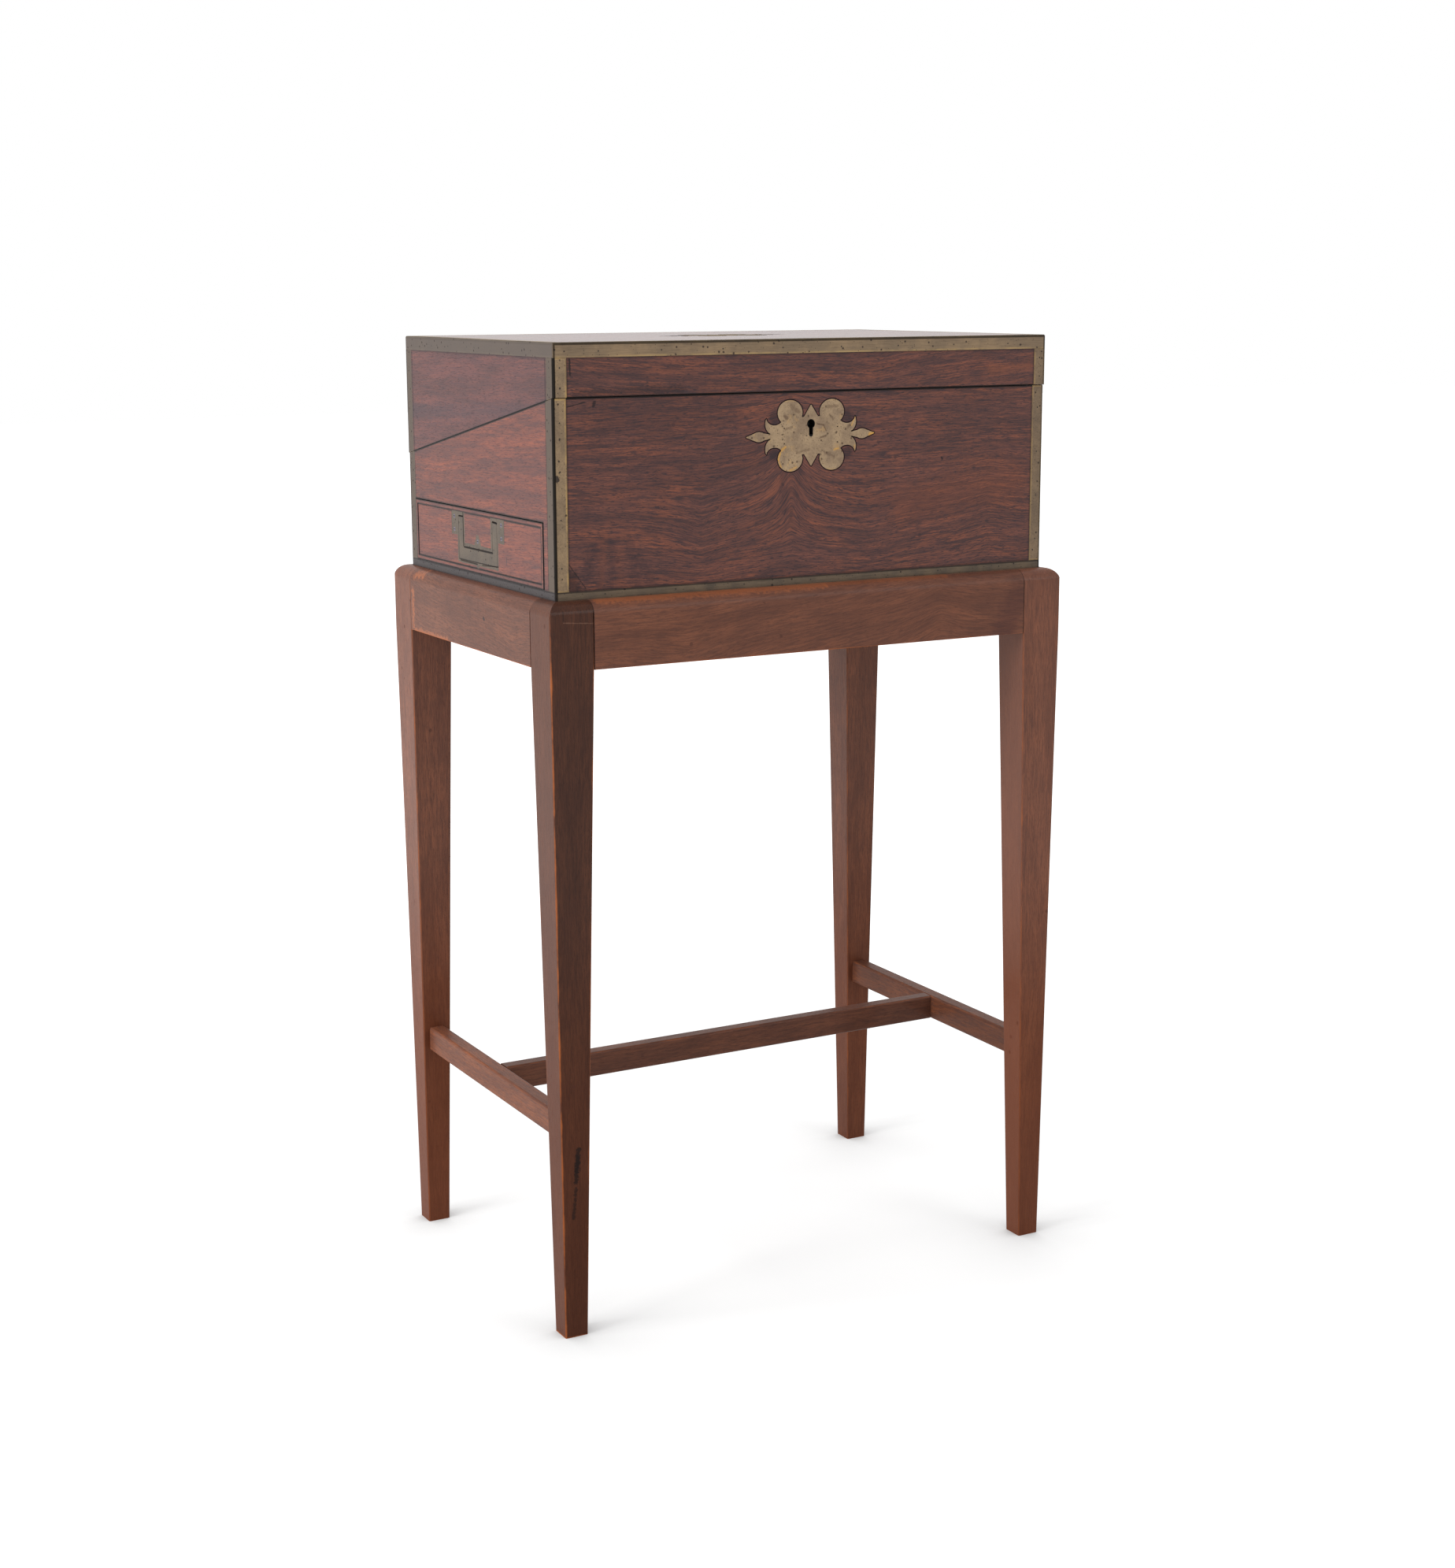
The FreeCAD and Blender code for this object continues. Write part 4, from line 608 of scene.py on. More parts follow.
@dataclass(frozen=True)
class TimberFinish:
    """Polished timber: its colours, how strongly its figure shows and how it shines."""

    name: str
    ground: Feed
    warm: Feed
    dark: Feed
    streak: Feed
    worn: Feed
    band_width: float
    line_width: float
    pore_width: float
    pore_length: float
    wave: float
    streak_strength: float
    pore_strength: float
    roughness: float
    coat: float
    coat_roughness: float
    wear: float
    wear_width: float = 2.2 * MM
    ripple: float = 0.12
    vein_strength: float = 0.0
    specular: float = 0.3

    def dress(self, name: str, plank: Plank) -> None:
        """Make the material of one plank and give it to its piece.

        Args:
            name: The piece.
            plank: How the piece was cut.
        """
        plank = plank if plank.block else replace(plank, block=Block.of_node(name))
        material, graph, shader = new_material(f"{self.name}_{name}")
        spot = graph.node("ShaderNodeTexCoord")
        place = spot.outputs["Object"]
        turned = self.turned(graph, place, plank)
        along, across, _ = graph.parts(turned)
        shift: Feed = 0.0
        glow: Feed = 0.0
        for bend in plank.bends:
            bent = GrainBend().put(graph, {
                "Along": along, "Across": across, "Peak Along": bend.along, "Peak Across": bend.across,
                "Rise": -bend.rise, "Spread": bend.spread, "Reach": bend.reach})
            shift = graph.math("ADD", shift, bent["Shift"])
            glow = graph.math("MULTIPLY_ADD", bent["Glow"], bend.glow, glow)
        figure = Timber().put(graph, {
            "Place": turned, "Shift": shift, "Seed": plank.seed, "Wave": self.wave,
            "Band Width": self.band_width, "Line Width": self.line_width,
            "Pore Width": self.pore_width, "Pore Length": self.pore_length})
        ground, warm, dark, streak = (shaded(tone, plank.shade)
                                      for tone in (self.ground, self.warm, self.dark, self.streak))
        colour = graph.tint(figure["Lines"], dark, ground)
        warmth = graph.math("MULTIPLY_ADD", figure["Tone"], 0.75, plank.tone - 0.5, clamp=True)
        warmth = graph.times(graph.math("ADD", warmth, glow, clamp=True), figure["Lines"])
        colour = graph.tint(warmth, colour, warm)
        streaks = graph.math("SUBTRACT", 1.0, figure["Bands"])
        for mask, strength in (
                (streaks, self.streak_strength), (figure["Ripple"], self.ripple),
                (figure["Veins"], self.vein_strength), (figure["Pores"], self.pore_strength)):
            colour = graph.cover(colour, streak, mask, strength)
        # Painted light and shade: faces turned along x are pulled towards the unshaded ground colour.
        if plank.x_face_shade:
            sideways = graph.math("ABSOLUTE", graph.parts(spot.outputs["Normal"])[0])
            colour = graph.cover(colour, self.ground, graph.step(sideways, 0.5, 0.8), plank.x_face_shade)
        colour, dulled = self.worn_colour(graph, place, plank, colour)
        shine = graph.math("MULTIPLY_ADD", figure["Pores"], 0.12, self.roughness)
        coat: Feed = self.coat
        if plank.bare_foot:
            coat = graph.times(graph.step(graph.parts(place)[2], 0.1, 0.5), self.coat)
        graph.fill(shader, {
            "Base Color": colour, "Roughness": graph.math("MULTIPLY_ADD", dulled, 0.2, shine),
            "Specular IOR Level": self.specular, "Coat Weight": coat,
            "Coat Roughness": self.coat_roughness, "Coat IOR": 1.5})
        grain_height = graph.math("MULTIPLY_ADD", figure["Lines"], 0.35,
                                  graph.times(figure["Pores"], -1.0))
        graph.relief(shader, grain_height, 0.25, 0.15 * MM)
        dress(name, material)

    @staticmethod
    def turned(graph: Graph, place: Feed, plank: Plank) -> Socket:
        """Turn a place so that the grain runs along x, a little askew where the plank was cut so.

        Args:
            graph: Builder over the material's tree.
            place: The point on the piece.
            plank: How the piece was cut.

        Returns:
            The place along the grain, across the shown face and into it.
        """
        parts = graph.parts(place)
        along, across, depth = (parts[axis] for axis in plank.grain.value)
        lean, rise = math.cos(plank.tilt), math.sin(plank.tilt)
        return graph.joined(
            graph.math("MULTIPLY_ADD", along, lean, graph.times(across, rise)),
            graph.math("MULTIPLY_ADD", across, lean, graph.times(along, -rise)), depth)

    def worn_colour(self, graph: Graph, place: Feed, plank: Plank,
                    colour: Feed) -> tuple[Feed, Socket]:
        """Add rubbed edges, rim lines, a painted seam shadow, a dark tenon joint and small marks.

        Args:
            graph: Builder over the material's tree.
            place: The point on the piece.
            plank: How the piece was cut.
            colour: The clean timber's colour.

        Returns:
            The worn colour, and how much the surface is dulled there.
        """
        marks = Specks().put(graph, {"Place": place, "Seed": plank.seed, "Size": 9 * MM,
                                     "Amount": 0.035})
        reach = EdgeReach().put(graph, plank.block.feeds(place))
        ragged = graph.math("MULTIPLY_ADD", marks["Clouds"], 3.2, -0.9)
        width = graph.math("MAXIMUM", graph.times(ragged, self.wear_width), 0.05 * MM)
        rubbed = graph.math("MULTIPLY", graph.step(reach["Edge"], width, 0.0), self.wear, clamp=True)
        colour = graph.tint(rubbed, colour, self.worn)
        colour = graph.cover(colour, self.streak, marks["Marks"], 0.55)
        black = paint(14, 8, 8)
        for mark in plank.marks:
            scar = Scar().put(graph, mark.feeds(place, plank.flat))["Mask"]
            colour = graph.cover(colour, mark.colour, scar, mark.strength)
        # Rim lines: painted shadow in the gaps round the drawer, and dark edges where boards meet the
        # brass.
        for rim in plank.rims:
            near = BoxReach().put(graph, {"Place": place, "Low": rim.block.low,
                                          "High": rim.block.high})["Distance"]
            rim_line = graph.step(near, rim.width, rim.width * 0.1)
            colour = graph.cover(colour, black, rim_line, rim.strength)
        # Painted shadow: a dark line along the lid's seam.
        if plank.seam:
            level, slope = plank.seam
            off = SeamReach().put(graph, {"Place": place, "Level": level, "Slope": slope})["Distance"]
            colour = graph.cover(colour, black, graph.step(off, 1.5 * MM, 0.7 * MM), 0.95)
        if plank.joint:
            ends = graph.parts(reach["Ends"])[plank.grain.value[0]]
            off = graph.math("ABSOLUTE", graph.math("SUBTRACT", ends, plank.joint))
            colour = graph.cover(colour, black, graph.step(off, 0.9 * MM, 0.3 * MM), 0.8)
        return colour, graph.math("MAXIMUM", rubbed, marks["Marks"])


@dataclass(frozen=True)
class BrassFinish:
    """Old brass: a dull skin, brighter where it is rubbed, dark in its pits and along arrises."""

    name: str
    skin: Feed
    cloud: Feed
    bright: Feed
    pit: Feed
    # side and the share after it: painted shade, the colour that faces turned along x are tinted to.
    side: Feed = field(default_factory=lambda: paint(96, 88, 82))
    end_face_shade: float = 0.0
    metal: float = 0.5
    roughness: float = 0.46
    specular: float = 0.15
    pit_size: float = 5 * MM
    pit_amount: float = 0.16
    specks: float = 0.26
    brushing: float = 0.34
    gold: float = 0.6
    gold_width: float = 2.2 * MM
    golden_places: float = 0.0
    arris_dark: float = 0.0
    side_arris: float = 1.0
    # Painted shadow: how dark and how wide a line along the piece's own edges is, in the gap where it
    # meets the next part.
    edge_shadow: float = 0.0
    edge_shadow_width: float = 1.1 * MM
    brush: Triple = (700.0, 700.0, 700.0)

    def dress(self, name: str, seed: float, arris: Block | None = None, marks: tuple[Mark, ...] = (),
              flat: Triple = (1.0, 0.0, 1.0)) -> None:
        """Make the material of one brass piece and give it to the piece.

        Args:
            name: The piece, whose rim is rubbed bright.
            seed: Moves the pattern, so that no two pieces look alike.
            arris: The form whose edges have gone dark, if the piece wraps round it.
            marks: Spots, rubbed places and painted shade, as in gaps and the keyhole, on the piece's
                shown face.
            flat: 0 for the axis across that face, else 1.
        """
        material, graph, shader = new_material(f"{self.name}_{name}")
        spot = graph.node("ShaderNodeTexCoord")
        place = spot.outputs["Object"]
        pits = Specks().put(graph, {"Place": place, "Seed": seed, "Size": self.pit_size,
                                    "Amount": self.pit_amount})
        fine = Specks().put(graph, {"Place": place, "Seed": seed + 5.0, "Size": 2.1 * MM,
                                    "Amount": self.specks})
        colour = graph.tint(graph.step(pits["Clouds"], 0.34, 0.66), self.skin, self.cloud)
        brushed = graph.noise(graph.vector("MULTIPLY", place, self.brush), 1.0, 3.0, 0.7)
        colour = graph.cover(colour, self.pit, graph.step(brushed, 0.4, 0.75), self.brushing)
        reach = EdgeReach().put(graph, Block.of_node(name).feeds(place))
        patches = graph.step(graph.noise(place, 46.0, 3.0, 0.6), 0.4, 0.6)
        uneven = graph.math("MULTIPLY_ADD", patches, 0.75, 0.25)
        inner = graph.step(reach["Edge"], self.gold_width, self.gold_width * 0.3)
        rubbed = graph.times(graph.times(inner, uneven), self.gold)
        colour = graph.tint(rubbed, colour, self.bright)
        golden = graph.step(graph.noise(place, 85.0, 4.0, 0.7, 0.4), 0.56, 0.7)
        colour = graph.cover(colour, self.bright, golden, self.golden_places)
        # Painted shade: faces turned along x, on the box's ends, are tinted towards the darker side
        # colour.
        sideways = graph.math("ABSOLUTE", graph.parts(spot.outputs["Normal"])[0])
        dulled = graph.times(graph.step(sideways, 0.5, 0.8), self.end_face_shade)
        colour = graph.tint(dulled, colour, self.side)
        spots = graph.math("MAXIMUM", graph.times(pits["Marks"], 0.8),
                           graph.times(fine["Marks"], 0.75))
        colour = graph.tint(spots, colour, self.pit)
        for mark in marks:
            scar = Scar().put(graph, mark.feeds(place, flat))["Mask"]
            stained = graph.times(scar, mark.strength)
            colour = graph.tint(stained, colour, mark.colour)
            spots = graph.math("MAXIMUM", spots, stained)
        # Painted shadow: a dark line along the piece's own edges, in the gap where it meets the next
        # part.
        rim = graph.step(reach["Edge"], self.edge_shadow_width, self.edge_shadow_width * 0.4)
        colour = graph.cover(colour, paint(26, 21, 20), rim, self.edge_shadow)
        if arris and self.arris_dark:
            wrapped = EdgeReach().put(graph, arris.feeds(place))
            dark = graph.times(graph.step(wrapped["Edge"], 2.7 * MM, 1.7 * MM), self.arris_dark)
            dark = graph.times(dark, graph.between(dulled, 1.0, self.side_arris))
            colour = graph.tint(dark, colour, paint(18, 13, 8))
            spots = graph.math("MAXIMUM", spots, dark)
        dull = graph.math("MULTIPLY_ADD", spots, 0.3, self.roughness)
        graph.fill(shader, {
            "Base Color": colour, "Roughness": graph.math("MULTIPLY_ADD", rubbed, -0.12, dull),
            "Metallic": graph.between(spots, self.metal, 0.05), "Specular IOR Level": self.specular})
        height = graph.math("MULTIPLY_ADD", spots, -1.0, graph.times(brushed, 0.35))
        graph.relief(shader, height, 0.3, 0.12 * MM)
        dress(name, material)


@dataclass(frozen=True)
class LeatherFinish:
    """Writing leather with a pebbled skin, ink spots and two gilt lines tooled inside its edge."""

    name: str = "writing_leather"
    ground: Feed = field(default_factory=lambda: paint(48, 62, 48))
    deep: Feed = field(default_factory=lambda: paint(30, 40, 32))
    gilt: Feed = field(default_factory=lambda: paint(176, 140, 76))
    first_line: float = 9 * MM
    second_line: float = 12.5 * MM
    line_half: float = 0.45 * MM

    def dress(self, name: str, seed: float) -> None:
        """Make the leather of one flap and lay it on the flap.

        Args:
            name: The leather, whose gilt lines are measured from its edges.
            seed: Moves the pattern, so that no two flaps look alike.
        """
        material, graph, shader = new_material(f"{self.name}_{name}")
        place = graph.node("ShaderNodeTexCoord").outputs["Object"]
        pebbles = graph.node("ShaderNodeTexVoronoi", {"Vector": place, "Scale": 700.0})
        worn = graph.noise(graph.vector("ADD", place, (seed, 0.0, 0.0)), 9.0, 5.0, 0.6)
        colour = graph.tint(graph.step(worn, 0.3, 0.7), self.deep, self.ground)
        dark_spots = Specks().put(graph, {"Place": place, "Seed": seed, "Size": 24 * MM, "Amount": 0.12})
        colour = graph.cover(colour, paint(22, 24, 26), dark_spots["Marks"], 0.5)
        low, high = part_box(name)
        block = Block((low.x, low.y, low.z - FAR), (high.x, high.y, high.z + FAR))
        reach = EdgeReach().put(graph, block.feeds(place))
        lines: Feed = 0.0
        for level in (self.first_line, self.second_line):
            off = graph.math("ABSOLUTE", graph.math("SUBTRACT", reach["Nearest"], level))
            line = graph.step(off, self.line_half * 1.4, self.line_half * 0.7)
            lines = graph.math("MAXIMUM", lines, line)
        rubbed = graph.step(graph.noise(place, 60.0, 3.0, 0.7), 0.38, 0.56)
        graph.fill(shader, {"Base Color": graph.cover(colour, self.gilt, lines, rubbed),
                            "Roughness": graph.between(worn, 0.62, 0.42)})
        height = graph.math("SUBTRACT", pebbles.outputs["Distance"], graph.times(lines, 0.8))
        graph.relief(shader, height, 0.35, 0.25 * MM)
        dress(name, material)


@dataclass(frozen=True)
class GlassFinish:
    """Clear moulded glass with ripples and a dried film of ink."""

    name: str = "ink_glass"

    def material(self) -> bpy.types.Material:
        """Make the bottles' glass.

        Returns:
            The finished material.
        """
        material, graph, shader = new_material(self.name)
        place = graph.node("ShaderNodeTexCoord").outputs["Object"]
        film = graph.noise(place, 120.0, 4.0, 0.6)
        tint = graph.tint(graph.step(film, 0.52, 0.75), paint(226, 236, 230), paint(120, 130, 150))
        graph.fill(shader, {
            "Base Color": tint, "Roughness": graph.math("MULTIPLY_ADD", film, 0.16, 0.02),
            "Transmission Weight": 0.85, "IOR": 1.5})
        graph.relief(shader, graph.noise(place, 240.0, 2.0), 0.2, 0.3 * MM)
        return material


@dataclass(frozen=True)
class WaxAndShadeFinish:
    """Dark stopping wax that fills the joint round inlaid brass and paints the shade at its edge."""

    name: str = "stopping_wax"

    def material(self) -> bpy.types.Material:
        """Make the wax.

        Returns:
            The finished material.
        """
        material, graph, shader = new_material(self.name)
        place = graph.node("ShaderNodeTexCoord").outputs["Object"]
        grime = graph.noise(place, 320.0, 4.0, 0.65)
        colour = graph.tint(grime, paint(26, 18, 22), paint(50, 38, 42))
        graph.fill(shader, {"Base Color": colour, "Roughness": graph.between(grime, 0.4, 0.62),
                            "Specular IOR Level": 0.0})
        graph.relief(shader, grime, 0.4, 0.1 * MM)
        return material


ROSEWOOD = TimberFinish(
    name="rosewood", ground=paint(125, 79, 67), warm=paint(147, 86, 62), dark=paint(86, 59, 57),
    streak=paint(58, 46, 49), worn=paint(128, 84, 62), band_width=7 * MM, line_width=1.2 * MM,
    pore_width=0.55 * MM, pore_length=5 * MM, wave=7 * MM, streak_strength=0.5, pore_strength=0.85,
    vein_strength=0.6, roughness=0.42, coat=0.03, coat_roughness=0.2, wear=0.0, specular=0.16)
END_ROSEWOOD = replace(
    ROSEWOOD, name="end_rosewood", ground=paint(119, 69, 58), warm=paint(138, 78, 59),
    dark=paint(96, 60, 55), streak=paint(66, 50, 52), band_width=12 * MM, pore_width=0.6 * MM,
    pore_length=6 * MM, wave=5 * MM, pore_strength=0.55, vein_strength=0.3, ripple=0.08, specular=0.18)
TOP_ROSEWOOD = TimberFinish(
    name="top_rosewood", ground=paint(110, 68, 60), warm=paint(130, 78, 60), dark=paint(86, 58, 56),
    streak=paint(66, 52, 56), worn=paint(128, 84, 62), band_width=14 * MM, line_width=1.8 * MM,
    pore_width=0.6 * MM, pore_length=6 * MM, wave=12 * MM, streak_strength=0.4, pore_strength=0.1,
    roughness=0.36, coat=0.38, coat_roughness=0.16, wear=0.0, specular=0.4)
STAND_WOOD = TimberFinish(
    name="stand_wood", ground=paint(118, 75, 58), warm=paint(134, 84, 62), dark=paint(102, 66, 53),
    streak=paint(72, 46, 40), worn=paint(164, 92, 50), band_width=18 * MM, line_width=1.4 * MM,
    pore_width=0.5 * MM, pore_length=6 * MM, wave=16 * MM, streak_strength=0.34, pore_strength=0.4,
    roughness=0.38, coat=0.12, coat_roughness=0.14, wear=0.7, wear_width=1.3 * MM, ripple=0.1,
    specular=0.08)
LINING_WOOD = TimberFinish(
    name="lining_wood", ground=paint(150, 100, 64), warm=paint(172, 118, 74), dark=paint(126, 80, 52),
    streak=paint(104, 64, 44), worn=paint(176, 124, 84), band_width=20 * MM, line_width=2.2 * MM,
    pore_width=0.5 * MM, pore_length=9 * MM, wave=8 * MM, streak_strength=0.35, pore_strength=0.4,
    roughness=0.55, coat=0.05, coat_roughness=0.4, wear=0.35)
STRAP_BRASS = BrassFinish(
    name="strap_brass", skin=paint(143, 121, 94), cloud=paint(122, 104, 84), bright=paint(196, 160, 98),
    pit=paint(46, 38, 38), side=paint(83, 73, 66), end_face_shade=0.9, arris_dark=1.0, edge_shadow=0.35,
    pit_amount=0.34)
BAND_BRASS = BrassFinish(
    name="band_brass", skin=paint(136, 115, 90), cloud=paint(118, 101, 82), bright=paint(180, 150, 96),
    pit=paint(46, 38, 38), side=paint(86, 77, 72), end_face_shade=0.9, arris_dark=0.8, side_arris=0.1,
    gold=0.4, pit_amount=0.4, brush=(60.0, 60.0, 1300.0))
FOOT_BRASS = BrassFinish(
    name="foot_brass", skin=paint(106, 92, 76), cloud=paint(88, 78, 68), bright=paint(118, 98, 66),
    pit=paint(42, 36, 34), side=paint(66, 62, 64), end_face_shade=0.9, gold=0.0, arris_dark=0.8,
    edge_shadow=0.75, edge_shadow_width=1.7 * MM, brush=(60.0, 60.0, 1300.0))
PLATE_BRASS = BrassFinish(
    name="plate_brass", skin=paint(162, 139, 110), cloud=paint(130, 110, 90), bright=paint(206, 162, 92),
    pit=paint(86, 69, 56), pit_size=5 * MM, pit_amount=0.5, specks=0.44, gold=0.42, golden_places=0.22)
TOP_BRASS = BrassFinish(
    name="top_brass", skin=paint(112, 96, 72), cloud=paint(96, 84, 66), bright=paint(150, 126, 82),
    pit=paint(60, 52, 48), pit_size=9 * MM, pit_amount=0.24, gold=0.25, metal=0.5, roughness=0.6,
    specular=0.0)
HANDLE_BRASS = BrassFinish(
    name="handle_brass", skin=paint(98, 87, 75), cloud=paint(84, 75, 67), bright=paint(124, 110, 92),
    pit=paint(46, 42, 40), gold=0.4, gold_width=1.0 * MM, metal=0.3, edge_shadow=0.8, edge_shadow_width=0.9 * MM)
SCREW_STEEL = BrassFinish(
    name="screw_steel", skin=paint(112, 106, 118), cloud=paint(96, 92, 100), bright=paint(140, 136, 146),
    pit=paint(60, 56, 60), gold=0.0, metal=0.3)
LOCK_IRON = BrassFinish(
    name="lock_iron", skin=paint(26, 23, 22), cloud=paint(20, 18, 17), bright=paint(40, 36, 34),
    pit=paint(14, 12, 12), gold=0.2, metal=0.1, roughness=0.7)
WORK_BRASS = BrassFinish(
    name="work_brass", skin=paint(158, 138, 88), cloud=paint(138, 120, 80), bright=paint(196, 170, 104),
    pit=paint(84, 74, 54))
PIN_BRASS = BrassFinish(
    name="pin_brass", skin=paint(62, 54, 48), cloud=paint(52, 46, 42), bright=paint(92, 80, 60),
    pit=paint(38, 34, 32), gold=0.1, metal=0.1)


# ------------------------------------------------------------------------------------ sub-assemblies
CORNERS = ("front_left", "front_right", "rear_left", "rear_right")


def mesh_points(name: str) -> np.ndarray:
    """Corner points of one node's mesh.

    Args:
        name: The node's name.

    Returns:
        An array with one row of x, y and z for each point.
    """
    mesh = bpy.data.objects[name].data
    flat = np.empty(len(mesh.vertices) * 3)
    mesh.vertices.foreach_get("co", flat)
    return flat.reshape(-1, 3)


@dataclass
class Stand:
    """Four tapered legs joined by rails under the box and by low stretchers."""

    finish: TimberFinish = STAND_WOOD
    foot_slice: float = 1 * MM

    def leg_block(self, name: str) -> Block:
        """Find a leg's tapering form.

        Args:
            name: The leg's node.

        Returns:
            The form from the foot's outline to the head's, and far on upwards.
        """
        points = mesh_points(name)
        foot = points[points[:, 2] < self.foot_slice]
        low, high = points.min(0), points.max(0)
        foot_low, foot_high = foot.min(0), foot.max(0)
        rail_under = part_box("stand_rail_front")[0].z
        grown = FAR / rail_under
        head_low = foot_low + (low - foot_low) * grown
        head_high = foot_high + (high - foot_high) * grown
        return Block((foot_low[0], foot_low[1], 0.0), (foot_high[0], foot_high[1], FAR),
                     (head_low[0], head_low[1], 0.0), (head_high[0], head_high[1], FAR))

    def leg_marks(self, corner: str) -> tuple[Mark, ...]:
        """Darken a leg towards its foot, and mark the front left one with gouges and tenon lines.

        Args:
            corner: Which leg.

        Returns:
            Its marks.
        """
        black, pale, bounce_amber = paint(30, 22, 20), paint(150, 112, 92), paint(98, 46, 17)
        low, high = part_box(f"stand_leg_{corner}")
        middle = (low.x + high.x) / 2 / MM
        # Painted bounce light: each leg turns darker and more orange towards its foot, for the light
        # bounced up from the floor.
        bounce_strengths = {"front_left": 0.25, "front_right": 0.56, "rear_left": 0.58, "rear_right": 0.4}
        foot = marks_on(0, (middle, 0, middle, 110, 50, 260, bounce_strengths[corner], bounce_amber, 0.06))
        if corner != "front_left":
            return foot
        return foot + marks_on(
            0,
            (-242.5, 176, -245.5, 146, 1.1, 1.6, 0.8, black, 1.2),
            (-245.5, 140, -248.5, 112, 0.6, 1.6, 0.7, black, 1.3),
            (-244, 168, -244.5, 156, 1.6, 1.2, 0.6, black, 1.2),
            (-250, 643.4, -223, 641.4, 0.1, 0.6, 0.3, pale, 1.4),
            (-250.6, 653, -250.7, 645, 0.1, 0.7, 0.5, black, 0.8))

    def rail_marks(self, side: str) -> tuple[Mark, ...]:
        """Mark the front rail's rubbed edge and dark end, and the left one's nail hole and wear.

        Args:
            side: Which rail.

        Returns:
            Its marks.
        """
        orange = paint(168, 98, 60)
        if side == "front":
            return marks_on(
                0,
                (-215, 659.4, 10, 659.4, 0.2, 4.5, 0.5, orange, 1.0),
                (10, 659.7, 140, 659.7, 0.1, 3, 0.3, orange, 1.0),
                # Painted shade: a darker patch at the rail's right end, beside the leg.
                (199, 606, 214, 634, 5, 14, 0.4, paint(66, 40, 40), 0.2))
        if side == "left":
            return marks_on(
                1,
                (-38.2, 631.5, -37.2, 632, 1.2, 1, 0.85, paint(34, 26, 28), 0.5),
                (126, 654, 108, 656, 0.6, 4.5, 0.5, orange, 1.6),
                (130, 640, 131, 606, 0.4, 4, 0.5, orange, 1.7),
                (127, 602.2, 48, 602.5, 0.3, 3.2, 0.5, orange, 1.7))
        return ()

    def dress(self) -> None:
        """Finish the legs, rails and stretchers."""
        dull = replace(self.finish, coat=0.07, specular=0.07)
        worn_leg = replace(dull, coat=0.1, wear=0.9, wear_width=2.2 * MM)
        blurred = replace(self.finish, coat_roughness=0.34)
        low_rail = replace(dull, coat=0.03, ground=paint(123, 74, 51), warm=paint(140, 84, 57))
        # The last number of each leg is painted light and shade: it lightens the front left leg's left
        # face and darkens the front right leg's left face, pulling them to the unshaded ground colour.
        legs = {"front_left": (worn_leg, 0.45, 0.22), "front_right": (self.finish, 1.2, 0.6),
                "rear_left": (self.finish, 1.05, 0.0), "rear_right": (self.finish, 0.9, 0.0)}
        for index, (corner, (finish, shade, x_face_shade)) in enumerate(legs.items()):
            name = f"stand_leg_{corner}"
            finish.dress(name, Plank(
                Grain.ALONG_Z, 3.0 + 2.7 * index, self.leg_block(name), shade=shade,
                marks=self.leg_marks(corner), x_face_shade=x_face_shade, bare_foot=True))
        bends = (Bend(0.16, 0.625, 24 * MM, 60 * MM, 50 * MM),
                 Bend(-0.1, 0.6, -14 * MM, 90 * MM, 50 * MM))
        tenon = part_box("stand_leg_front_left")[1].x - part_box("stand_rail_front")[0].x
        rails = {"front": (blurred, 1.0, 0.05, tenon), "rear": (self.finish, 0.9, 0.0, 0.0),
                 "left": (self.finish, 0.8, 0.0, 0.0), "right": (self.finish, 0.9, 0.0, 0.0)}
        for index, (side, (finish, shade, tilt, joint)) in enumerate(rails.items()):
            grain = Grain.ALONG_X if side in ("front", "rear") else Grain.ALONG_Y
            finish.dress(f"stand_rail_{side}", Plank(
                grain, 21.0 + 3.3 * index, bends=bends, joint=joint, marks=self.rail_marks(side),
                tilt=tilt, shade=shade))
        stretchers = {"left": (low_rail, 1.02), "right": (low_rail, 0.74), "centre": (dull, 0.72)}
        for index, (side, (finish, shade)) in enumerate(stretchers.items()):
            grain = Grain.ALONG_X if side == "centre" else Grain.ALONG_Y
            finish.dress(f"stand_stretcher_{side}", Plank(grain, 41.0 + 4.1 * index, shade=shade))
        LOG.info("stand: %d legs, %d rails and %d stretchers", len(legs), len(rails), len(stretchers))


